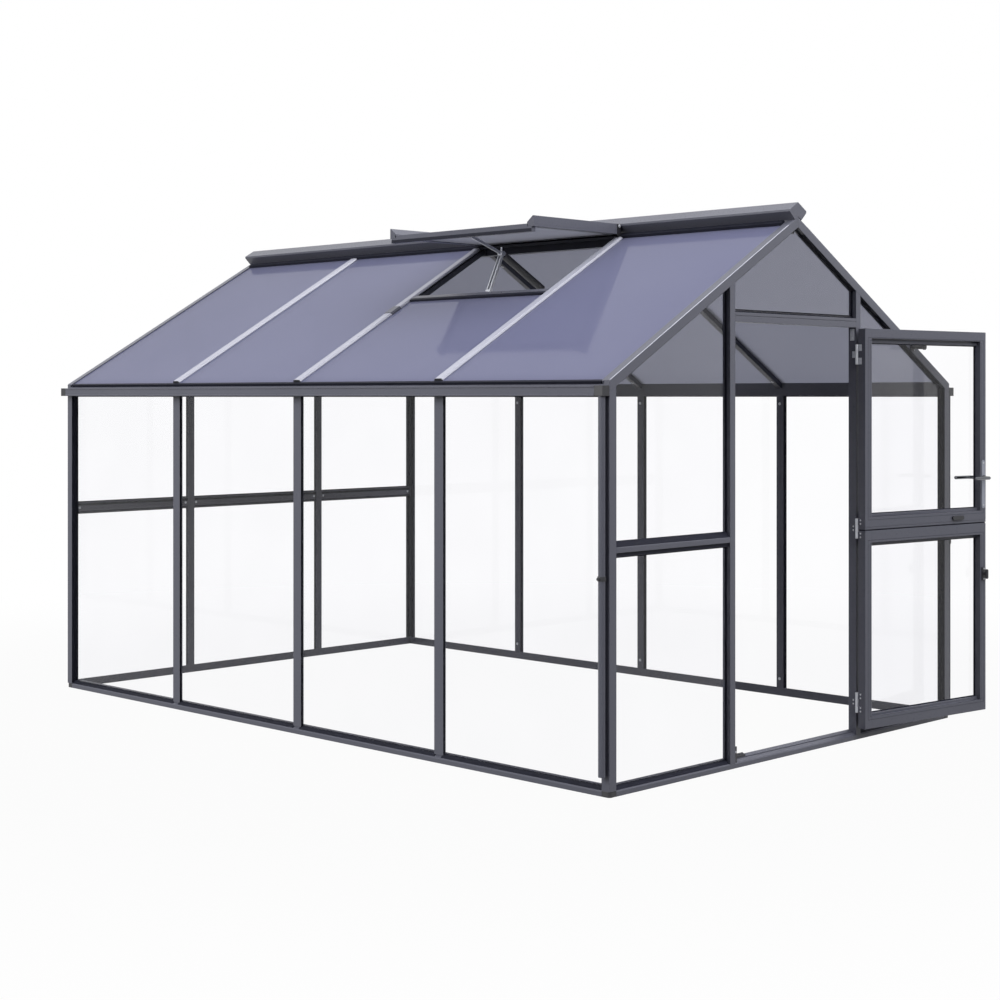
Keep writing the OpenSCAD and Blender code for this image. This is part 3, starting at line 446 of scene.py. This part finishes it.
FRAME_D = 0.040  # the posts are this wide, and the base rails and rafters this deep
SILL_LOW = 0.021
SILL_RISE = 0.021
MID_LOW = 0.910
MID_TOP = 0.966
BAR_HALF = 0.020
JAMB_X = 0.456  # middle of a door jamb, and of a bar in the back gable
JAMB_HALF = 0.0175
WIPER = 0.004
OUTER_BED = (0.0176, 0.0200)
INNER_BED = (0.0240, 0.0264)
SHADE_LINING = 0.0012
OUTER_REVEAL = (0.0010, OUTER_BED[0])
INNER_REVEAL = (INNER_BED[1], 0.0390)
SHADE_LINING_RUN = (0.060, 1.330)


def sill(d):
    """Height of the sloping sill at a depth."""
    return SILL_LOW + SILL_RISE * d / FRAME_D


def under_rafter(x):
    """Height of the gable rafter's underside."""
    return EAVE_TOP + (HALF_W - abs(x)) * math.tan(PITCH) - FRAME_D / math.cos(PITCH)


# Broad dark strips on the sills and mid-rails make the sloped tops and the mid-rails' lower lips show
# dark.
SILL_STRIP = ((0.0200, sill(0.0200)), (0.0200, sill(0.0200) + 0.006),
              (0.0160, sill(0.0160) + 0.003), (0.0045, sill(0.0045) + 0.0014),
              (0.0045, sill(0.0045)))
MID_STRIP = ((0.0195, MID_TOP), (0.0195, MID_TOP + 0.006), (0.0160, MID_TOP),
             (0.0018, MID_TOP - 0.0154), (0.0018, MID_TOP - 0.0173))
MID_LIP = oblong(0.0080, 0.0097, MID_LOW + 0.001, MID_LOW + 0.016)
MID_CHANNEL_LOW = oblong(0.0298, 0.0307, MID_LOW + 0.0035, MID_LOW + 0.0095)
MID_CHANNEL_HIGH = oblong(0.0298, 0.0307, MID_TOP - 0.0180, MID_TOP - 0.0045)
bm = bmesh.new()
bay_edges = (FRONT_Y + FRAME_D, *BAR_YS, BACK_Y - FRAME_D)
for side in (-1, 1):
    for i in range(4):
        y0 = bay_edges[i] + (BAR_HALF if i > 0 else 0.0)
        y1 = bay_edges[i + 1] - (BAR_HALF if i < 3 else 0.0)
        for d0, d1 in (OUTER_BED, INNER_BED):
            bead(bm, oblong(y0, y1, sill(d1), EAVE_H), WIPER, d0, d1, wall("x", side))
        prism(bm, SILL_STRIP, y0, y1, wall("x", side))
post_x = HALF_W - FRAME_D
door_x = JAMB_X + JAMB_HALF
reveal_x = JAMB_X - JAMB_HALF
bar_out = JAMB_X + BAR_HALF
bar_in = JAMB_X - BAR_HALF
panels = ((-1, -post_x, -door_x), (-1, door_x, post_x),
          (1, -post_x, -bar_out), (1, -bar_in, bar_in), (1, bar_out, post_x))
for side, x0, x1 in panels:
    crown = [(0.0, under_rafter(0.0))] if x0 * x1 < 0 else []
    for d0, d1 in (OUTER_BED, INNER_BED):
        high = [(x0, MID_TOP), (x1, MID_TOP), (x1, under_rafter(x1)), *crown, (x0, under_rafter(x0))]
        bead(bm, oblong(x0, x1, sill(d1), MID_LOW), WIPER, d0, d1, wall("y", side))
        bead(bm, high, WIPER, d0, d1, wall("y", side))
    for section in (SILL_STRIP, MID_STRIP, MID_LIP, MID_CHANNEL_LOW, MID_CHANNEL_HIGH):
        prism(bm, section, x0, x1, wall("y", side))
    # Painted shade: thin black linings on the posts' reveals, where these sides lie in shade.
    for x in (-post_x, post_x - SHADE_LINING):
        if x0 - SHADE_LINING < x < x1:
            for d0, d1 in (OUTER_REVEAL, INNER_REVEAL):
                for z0, z1 in ((sill(d1), MID_LOW), (MID_TOP, under_rafter(post_x))):
                    prism(bm, oblong(d0, d1, z0, z1), x, x + SHADE_LINING, wall("y", side))
LINTEL_FEET = ((OUTER_BED, 1.869), (INNER_BED, 1.879))
for (d0, d1), foot in LINTEL_FEET:
    over_door = [(-reveal_x, foot), (reveal_x, foot), (reveal_x, under_rafter(reveal_x)),
                 (0.0, under_rafter(0.0)), (-reveal_x, under_rafter(reveal_x))]
    bead(bm, over_door, WIPER, d0, d1, wall("y", -1))
# Painted shade: thin black linings on the rafters' undersides and on the posts' sides in the side
# walls, where these faces lie in shade.
SHADE_LINING_SUNK = 0.0001
for side in (-1, 1):
    for rafter in (slope(-1), slope(1)):
        near = wall("y", side)
        for d0, d1 in (OUTER_REVEAL, INNER_REVEAL):
            y0, y1 = sorted((near(0, 0, d0).y, near(0, 0, d1).y))
            prism(bm, oblong(y0, y1, -FRAME_D - SHADE_LINING, SHADE_LINING_SUNK - FRAME_D), *SHADE_LINING_RUN, rafter)
    for y in (FRONT_Y + FRAME_D, BACK_Y - FRAME_D - SHADE_LINING):
        for d0, d1 in (OUTER_REVEAL, INNER_REVEAL):
            prism(bm, oblong(d0, d1, sill(d1), EAVE_H), y, y + SHADE_LINING, wall("x", side))
settle(bm, "wall_gaskets_and_shade_linings", rubber_and_shade)

# Roof sheets: twin-wall polycarbonate, extruded with a weather skin whose blue-grey tint is a painted
# sky reflection. They lie on the bars, are held down by the cap strips, and are closed by rubber at
# the eave and the ridge.
haze, tree, skin, spot = finish("Hazy twin-wall polycarbonate")
# Milky, with a polished skin outside that mirrors the raised vent. The blue-grey tint outside is a
# painted sky reflection, and the darker grey underside is painted shade. From below it glows dully.
TINT_DRIFT = 0.7  # how far apart the slight changes of tint lie
RIB = 0.011  # spacing of the webs between the sheet's two skins, which run up the slope
cloud = put(tree, "ShaderNodeTexNoise", {"Vector": spot, "Scale": 1 / TINT_DRIFT, "Detail": 2.0})
tone = put(tree, "ShaderNodeMix",
           {"Factor": cloud.outputs["Fac"], "A": linear("#686a88"), "B": linear("#747692")},
           data_type="RGBA")
along = put(tree, "ShaderNodeSeparateXYZ", {0: spot})
turn = put(tree, "ShaderNodeMath", {0: along.outputs["Y"], 1: 2 * math.pi / RIB},
           operation="MULTIPLY")
beat = put(tree, "ShaderNodeMath", {0: turn.outputs[0]}, operation="SINE")
rib = put(tree, "ShaderNodeMapRange",
          {"Value": beat.outputs[0], "From Min": 0.7, "From Max": 1.0, "To Max": 0.25})
webs = put(tree, "ShaderNodeMix",
           {"Factor": rib.outputs["Result"], "A": tone.outputs["Result"], "B": linear("#7d7f9c")},
           data_type="RGBA")
# Painted light: faces that look up take the blue-grey tint as a painted sky reflection, and faces that
# look down take the darker grey as painted shade.
facing = put(tree, "ShaderNodeSeparateXYZ",
             {0: put(tree, "ShaderNodeNewGeometry").outputs["Normal"]})
outside = put(tree, "ShaderNodeMath", {0: facing.outputs["Z"], 1: 0.0}, operation="GREATER_THAN")
sides = put(tree, "ShaderNodeMix",
            {"Factor": outside.outputs[0], "A": linear("#4a4c52"), "B": webs.outputs["Result"]},
            data_type="RGBA")
tree.links.new(sides.outputs["Result"], skin.inputs["Base Color"])
polish = put(tree, "ShaderNodeMapRange",
             {"Value": outside.outputs[0], "To Min": 0.4, "To Max": 0.07})
tree.links.new(polish.outputs["Result"], skin.inputs["Roughness"])
skin.inputs["IOR"].default_value = 1.58
skin.inputs["Specular IOR Level"].default_value = 0.17
inner_glow = put(tree, "ShaderNodeBsdfTranslucent", {"Color": linear("#b9bac1")})
milky = put(tree, "ShaderNodeMixShader", {0: 0.42, 1: skin.outputs[0], 2: inner_glow.outputs[0]})
through = put(tree, "ShaderNodeBsdfTransparent", {"Color": linear("#b9bbcd")})
sheet_skin = put(tree, "ShaderNodeMixShader",
                 {0: 0.14, 1: milky.outputs[0], 2: through.outputs[0]})
tree.links.new(sheet_skin.outputs[0], tree.nodes["Material Output"].inputs["Surface"])
for name in ("left_roof_sheets", "right_roof_sheets", "vent_sheet"):
    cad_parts[name].material_slots[0].material = haze


def lengthwise(side):
    """Places a section of (run up the slope, height over it) that runs along the house."""
    def spot_on(u, z, d):
        return slope(side)(d, z, u)
    return spot_on


EAVE_SEAL = ((-0.0036, -0.0165), (0.0012, -0.0165), (0.0012, -0.0040), (0.0095, -0.0045),
             (0.0095, -0.0030), (-0.0036, -0.0030))
RIDGE_SEAL = oblong(1.3372, 1.3640, -0.0048, 0.0090)
SEAL_RUN = (0.018, 3.702)
bm = bmesh.new()
for side in (-1, 1):
    for section in (EAVE_SEAL, RIDGE_SEAL):
        prism(bm, section, *SEAL_RUN, lengthwise(side))
settle(bm, "roof_sheet_seals", rubber_and_shade)

# Roof vent: coated rails round a roof sheet, hung from the ridge over a coated sill. A spring-tube
# opener on arms of plated strip props it open, and rubber seals its edges.
zinc, tree, skin, spot = finish("Bright zinc-plated steel")
# Rolled and plated strip: a soft metallic grey with fine drawn lines.
BRUSH = 0.004  # drawn coarser than real rolling lines so that it shows
lines = put(tree, "ShaderNodeTexNoise", {"Vector": spot, "Scale": 1 / BRUSH, "Detail": 3.0})
tone = put(tree, "ShaderNodeMix",
           {"Factor": lines.outputs["Fac"], "A": linear("#aeb0b6"), "B": linear("#c2c4c9")},
           data_type="RGBA")
tree.links.new(tone.outputs["Result"], skin.inputs["Base Color"])
skin.inputs["Metallic"].default_value = 0.4
gloss = put(tree, "ShaderNodeMapRange",
            {"Value": lines.outputs["Fac"], "To Min": 0.3, "To Max": 0.44})
tree.links.new(gloss.outputs["Result"], skin.inputs["Roughness"])
PRESS_RADIUS = 0.0006
for name in ("vent_sill", "vent_hinge_rail", "vent_side_rails", "vent_bottom_rail"):
    eased(name, DIE_RADIUS, coat)


def level_run(u, z, d):
    """Places a section of (X, Z) that runs along the house."""
    return Vector((d, u, z))


def cross_run(u, z, d):
    """Places a section of (Y, Z) that runs across the house."""
    return Vector((u, d, z))


SILL_SEAL = oblong(0.9575, 1.8325, -0.0052, 0.0058)
SILL_SEAL_RUN = (0.7835, 0.7995)
HINGE_SEAL = oblong(-0.0266, -0.0251, 2.2215, 2.2745)
HINGE_SEAL_RUN = (0.951, 1.839)
bm = bmesh.new()
prism(bm, SILL_SEAL, *SILL_SEAL_RUN, slope(-1))
prism(bm, HINGE_SEAL, *HINGE_SEAL_RUN, level_run)
settle(bm, "vent_seals", rubber_and_shade)
eased("vent_opener_arms", PRESS_RADIUS, zinc)
eased("vent_opener_tube", MOULD_RADIUS, moulding)
DRIP = oblong(-0.6412, -0.6397, 2.2478, 2.2625)
DRIP_RUN = (0.937, 1.853)
bm = bmesh.new()
prism(bm, DRIP, *DRIP_RUN, level_run)
settle(bm, "vent_drip_seal", rubber_and_shade)
HINGE_END = oblong(0.9219, 0.9257, 2.262, 2.3165)
HINGE_END_RUN = (-0.081, -0.061)
bm = bmesh.new()
prism(bm, HINGE_END, *HINGE_END_RUN, cross_run)
settle(bm, "vent_hinge_end", moulding)

# Split door: two glazed leaves on one hinge line, each of coated extrusions with its rails set
# between its stiles. Rubber holds the panes, and a brush strip on the lower leaf closes the gap
# between the two.
for name in ("upper_leaf_stiles", "upper_leaf_rails"):
    eased(name, DIE_RADIUS, coat, "upper_leaf")
for name in ("lower_leaf_stiles", "lower_leaf_rails"):
    eased(name, DIE_RADIUS, coat, "lower_leaf")
HINGE = Vector((0.432, -0.032, 0.0))
SWUNG = math.radians(172.5)
OPEN = Matrix.Translation(HINGE) @ Matrix.Rotation(SWUNG, 4, "Z") @ Matrix.Translation(-HINGE)


def leaf(u, z, d):
    """Places (run from the doorway's middle, height, depth in from the outer face) on an open leaf."""
    return OPEN @ Vector((u, FRONT_Y + d, z))


PANE_X = (-0.3765, 0.3885)
PANE_ZS = (("upper_leaf", 1.001, 1.760), ("lower_leaf", 0.117, 0.863))
LEAF_BEDS = ((0.0016, 0.0040), (0.0080, 0.0104))
JOINT_W = 0.0011  # dark lines where the leaf's sections meet, on both faces
JOINTS_OUT = (0.0115, 0.0245)
JOINT_DEPTHS = ((-0.0003, 0.0004), (0.0396, 0.0403))
for body, z0, z1 in PANE_ZS:
    bm = bmesh.new()
    for d0, d1 in LEAF_BEDS:
        bead(bm, oblong(*PANE_X, z0, z1), WIPER, d0, d1, leaf)
    for out in JOINTS_OUT:
        joint = oblong(PANE_X[0] - out, PANE_X[1] + out, z0 - out, z1 + out)
        for d0, d1 in JOINT_DEPTHS:
            bead(bm, joint, JOINT_W, d0, d1, leaf)
    settle(bm, body + "_gasket", rubber_and_shade, body)
BRUSH_STRIP = ((0.005, 0.9288), (0.037, 0.9288), (0.036, 0.9340), (0.006, 0.9340))
BRUSH_RUN = (-0.4162, 0.4305)
bm = bmesh.new()
prism(bm, BRUSH_STRIP, *BRUSH_RUN, leaf)
settle(bm, "lower_leaf_brush", rubber_and_shade, "lower_leaf")

# Hinges, strike, stop and catch: pressed and plated knuckle hinges with bright pins, their lower
# flaps coated with the frame, a plated strike, a moulded stop on the sill and a moulded catch on the
# rafter that holds the opened leaf.
BOSS = 0.0085
TOP_HINGE = 1.6
FOOT_STOP = 0.2
COATED = 1
MOULDED = 2
for name, body in (("jamb_hinges", "root"), ("upper_leaf_hinges", "upper_leaf"),
                   ("lower_leaf_hinges", "lower_leaf"), ("jamb_strikes", "root")):
    piece = eased(name, PRESS_RADIUS, zinc, body)
    piece.data.materials.append(coat)
    piece.data.materials.append(moulding)
    for face in piece.data.polygons:
        away = (face.center - HINGE).to_2d().length
        if name == "jamb_strikes":
            face.material_index = MOULDED if face.center.z < FOOT_STOP else 0
        elif away > BOSS and face.center.z < TOP_HINGE:
            face.material_index = COATED
eased("door_catch", MOULD_RADIUS, moulding)

# Door furniture: a cast and polished lever on narrow satin plates, an oval bolt between the leaves
# and a black turn-button. The plates are screwed to the upper leaf's free stile.
satin, tree, skin, spot = finish("Satin stainless plate")
# Fine upright brushing: mid grey that takes the tone of what is near it.
SATIN = 0.0015  # width of a brush line
LINE_LENGTH = 1 / 12
upright = put(tree, "ShaderNodeMapping",
              {"Vector": spot, "Scale": (1 / SATIN, 1 / SATIN, 1 / LINE_LENGTH)})
lines = put(tree, "ShaderNodeTexNoise",
            {"Vector": upright.outputs["Vector"], "Scale": 1.0, "Detail": 2.0})
tone = put(tree, "ShaderNodeMix",
           {"Factor": lines.outputs["Fac"], "A": linear("#7d808b"), "B": linear("#8e919c")},
           data_type="RGBA")
tree.links.new(tone.outputs["Result"], skin.inputs["Base Color"])
skin.inputs["Metallic"].default_value = 0.5
gloss = put(tree, "ShaderNodeMapRange",
            {"Value": lines.outputs["Fac"], "To Min": 0.26, "To Max": 0.36})
tree.links.new(gloss.outputs["Result"], skin.inputs["Roughness"])
eased("handle_plates", PRESS_RADIUS, satin, "upper_leaf")
eased("leaf_bolt", MOULD_RADIUS, moulding, "upper_leaf")
eased("latch_knob", MOULD_RADIUS, moulding, "lower_leaf")
chrome, tree, skin, spot = finish("Polished chrome plate")
# Mirror plate on a cast lever, with the least trace of handling. Its deep grey is painted shade that
# dims what the lever mirrors.
SMEAR = 0.02  # size of a smear
smear = put(tree, "ShaderNodeTexNoise", {"Vector": spot, "Scale": 1 / SMEAR, "Detail": 3.0})
# Painted shade: the deep grey base darkens the surroundings that the chrome mirrors.
tone = put(tree, "ShaderNodeMix",
           {"Factor": smear.outputs["Fac"], "A": linear("#5e6065"), "B": linear("#707277")},
           data_type="RGBA")
tree.links.new(tone.outputs["Result"], skin.inputs["Base Color"])
skin.inputs["Metallic"].default_value = 1.0
gloss = put(tree, "ShaderNodeMapRange",
            {"Value": smear.outputs["Fac"], "To Min": 0.08, "To Max": 0.18})
tree.links.new(gloss.outputs["Result"], skin.inputs["Roughness"])
eased("lever_handle", PRESS_RADIUS, chrome, "lever")

# Bolts and screws: zinc-plated steel heads with a pressed flange. They hold the bars to the rails,
# and the hinges, plates and stops to the frame and the leaves.
tree = bpy.data.node_groups.new("flange heads", "GeometryNodeTree")
HEAD_INPUTS = (("Hex Radius", "NodeSocketFloat", 0.0050), ("Hex Height", "NodeSocketFloat", 0.0036),
               ("Flange Radius", "NodeSocketFloat", 0.0075),
               ("Flange Height", "NodeSocketFloat", 0.0012),
               ("Seed", "NodeSocketInt", 7), ("Plating", "NodeSocketMaterial", zinc))
tree.interface.new_socket("Geometry", in_out="INPUT", socket_type="NodeSocketGeometry")
HEAD_VALUES = {}
for name, kind, value in HEAD_INPUTS:
    socket = tree.interface.new_socket(name, in_out="INPUT", socket_type=kind)
    HEAD_VALUES[socket.identifier] = value
tree.interface.new_socket("Geometry", in_out="OUTPUT", socket_type="NodeSocketGeometry")
given = put(tree, "NodeGroupInput").outputs
heads = []
for sides, radius, height in ((16, "Flange Radius", "Flange Height"), (6, "Hex Radius", "Hex Height")):
    disc = put(tree, "GeometryNodeMeshCylinder",
               {"Vertices": sides, "Radius": given[radius], "Depth": given[height]})
    half = put(tree, "ShaderNodeMath", {0: given[height], 1: 0.5}, operation="MULTIPLY")
    lift = put(tree, "ShaderNodeCombineXYZ", {"Z": half.outputs[0]})
    heads.append(put(tree, "GeometryNodeTransform",
                     {"Geometry": disc.outputs["Mesh"], "Translation": lift.outputs[0]}))
head = put(tree, "GeometryNodeJoinGeometry")
for part in heads:
    tree.links.new(part.outputs[0], head.inputs[0])
aim = put(tree, "GeometryNodeInputNamedAttribute", {"Name": "aim"}, data_type="FLOAT_VECTOR")
size = put(tree, "GeometryNodeInputNamedAttribute", {"Name": "size"}, data_type="FLOAT")
facing = put(tree, "FunctionNodeAlignRotationToVector", {"Vector": aim.outputs["Attribute"]}, axis="Z")
chance = put(tree, "FunctionNodeRandomValue", {2: 0.0, 3: 2 * math.pi, "Seed": given["Seed"]},
             data_type="FLOAT")
twist = put(tree, "FunctionNodeAxisAngleToRotation",
            {"Axis": (0, 0, 1), "Angle": chance.outputs[1]})
turned = put(tree, "FunctionNodeRotateRotation", {0: facing.outputs[0], 1: twist.outputs[0]},
             rotation_space="LOCAL")
placed = put(tree, "GeometryNodeInstanceOnPoints",
             {"Points": given["Geometry"], "Instance": head.outputs[0], "Rotation": turned.outputs[0],
              "Scale": size.outputs["Attribute"]})
solid = put(tree, "GeometryNodeRealizeInstances", {"Geometry": placed.outputs[0]})
plated = put(tree, "GeometryNodeSetMaterial",
             {"Geometry": solid.outputs[0], "Material": given["Plating"]})
put(tree, "NodeGroupOutput", {"Geometry": plated.outputs[0]})

BAR_BACK = 0.036
BAR_BOLT_ZS = (0.085, 1.485)
ROOF_BOLT_RUNS = (0.09, 1.25)
MID_Z = (MID_LOW + MID_TOP) / 2
MID_BACK = 0.030
MID_BOLT_XS = (0.491, 1.165)
HINGE_ZS = (0.167, MID_Z, 1.709)
HINGE_SCREW = 0.008
KNUCKLE_OFF = 0.0295
SMALL = 0.5  # screws are shown as smaller heads
TO_RIGHT = Vector((1, 0, 0))
TO_BACK = Vector((0, 1, 0))
spots = {"root": [], "upper_leaf": [], "lower_leaf": []}
for side in (-1, 1):
    inward = Vector((-side * math.sin(PITCH), 0.0, -math.cos(PITCH)))
    for y in BAR_YS:
        for z in BAR_BOLT_ZS:
            spots["root"].append((Vector((side * (HALF_W - BAR_BACK), y, z)), -side * TO_RIGHT, 1.0))
        for u in ROOF_BOLT_RUNS:
            spots["root"].append((slope(side)(u, -FRAME_D, y), inward, 1.0))
    for x in MID_BOLT_XS:
        spots["root"].append((Vector((side * x, FRONT_Y + MID_BACK, MID_Z)), TO_BACK, 0.9))
    for x in (bar_in - 0.015, *MID_BOLT_XS):
        spots["root"].append((Vector((side * x, BACK_Y - MID_BACK, MID_Z)), -TO_BACK, 0.9))
for z in HINGE_ZS:
    for lift in (-HINGE_SCREW, HINGE_SCREW):
        spots["root"].append((Vector((0.437, -0.0105, z + lift)), -TO_RIGHT, SMALL))
STRIKE_SCREW_ZS = (1.782, 1.812)
for z in STRIKE_SCREW_ZS:
    spots["root"].append((Vector((0.437, -0.004, z)), -TO_RIGHT, 0.6))
CATCH = Vector((0.896, FRONT_Y - 0.004, 1.750))
for across in (-0.0125, 0.0125):
    spots["root"].append((CATCH + Vector((across, 0.0, -across)), -TO_BACK, 0.45))
STOP_SCREW = Vector((-0.4315, FRONT_Y + 0.003, 0.066))
spots["root"].append((STOP_SCREW, -TO_BACK, 0.6))
VENT_PIVOT = Vector((-0.071, HINGE_END[0][0], 2.3075))
spots["root"].append((VENT_PIVOT, -TO_BACK, 1.0))
edge_out = OPEN.to_3x3() @ TO_RIGHT
face_out = OPEN.to_3x3() @ TO_BACK
LEAF_HINGE_ZS = (
    ("upper_leaf", (HINGE_ZS[1] + KNUCKLE_OFF, HINGE_ZS[2] - KNUCKLE_OFF, HINGE_ZS[2] + KNUCKLE_OFF)),
    ("lower_leaf", (HINGE_ZS[0] - KNUCKLE_OFF, HINGE_ZS[0] + KNUCKLE_OFF, HINGE_ZS[1] - KNUCKLE_OFF)),
)
for body, zs in LEAF_HINGE_ZS:
    for z in zs:
        for lift in (-HINGE_SCREW, HINGE_SCREW):
            spots[body].append((leaf(0.433, z + lift, 0.0135), edge_out, SMALL))
SPINDLE_X = -0.3965
PLATE_SCREW_ZS = (1.013, 1.211)
PLATE_FACES = ((0.043, face_out), (-0.003, -face_out))
for z in PLATE_SCREW_ZS:
    for depth, out in PLATE_FACES:
        spots["upper_leaf"].append((leaf(SPINDLE_X, z, depth), out, 0.6))
KNOB_SCREW_ZS = (0.668, 0.716)
for z in KNOB_SCREW_ZS:
    spots["lower_leaf"].append((leaf(SPINDLE_X, z, 0.046), face_out, 0.55))
for body, places in spots.items():
    points = bpy.data.meshes.new(body + "_spots")
    points.from_pydata([p for p, _, _ in places], [], [])
    aims = points.attributes.new("aim", "FLOAT_VECTOR", "POINT")
    aims.data.foreach_set("vector", [c for _, a, _ in places for c in a])
    sizes = points.attributes.new("size", "FLOAT", "POINT")
    sizes.data.foreach_set("value", [s for _, _, s in places])
    source = bpy.data.objects.new(body + "_spots", points)
    scene.collection.objects.link(source)
    grow = source.modifiers.new("flange heads", "NODES")
    grow.node_group = tree
    for identifier, value in HEAD_VALUES.items():
        grow[identifier] = value
    grown = source.evaluated_get(bpy.context.evaluated_depsgraph_get())
    mesh = bpy.data.meshes.new_from_object(grown)
    bpy.data.objects.remove(source)
    piece = bpy.data.objects.new(body + "_bolt_heads", mesh)
    scene.collection.objects.link(piece)
    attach(piece, body)
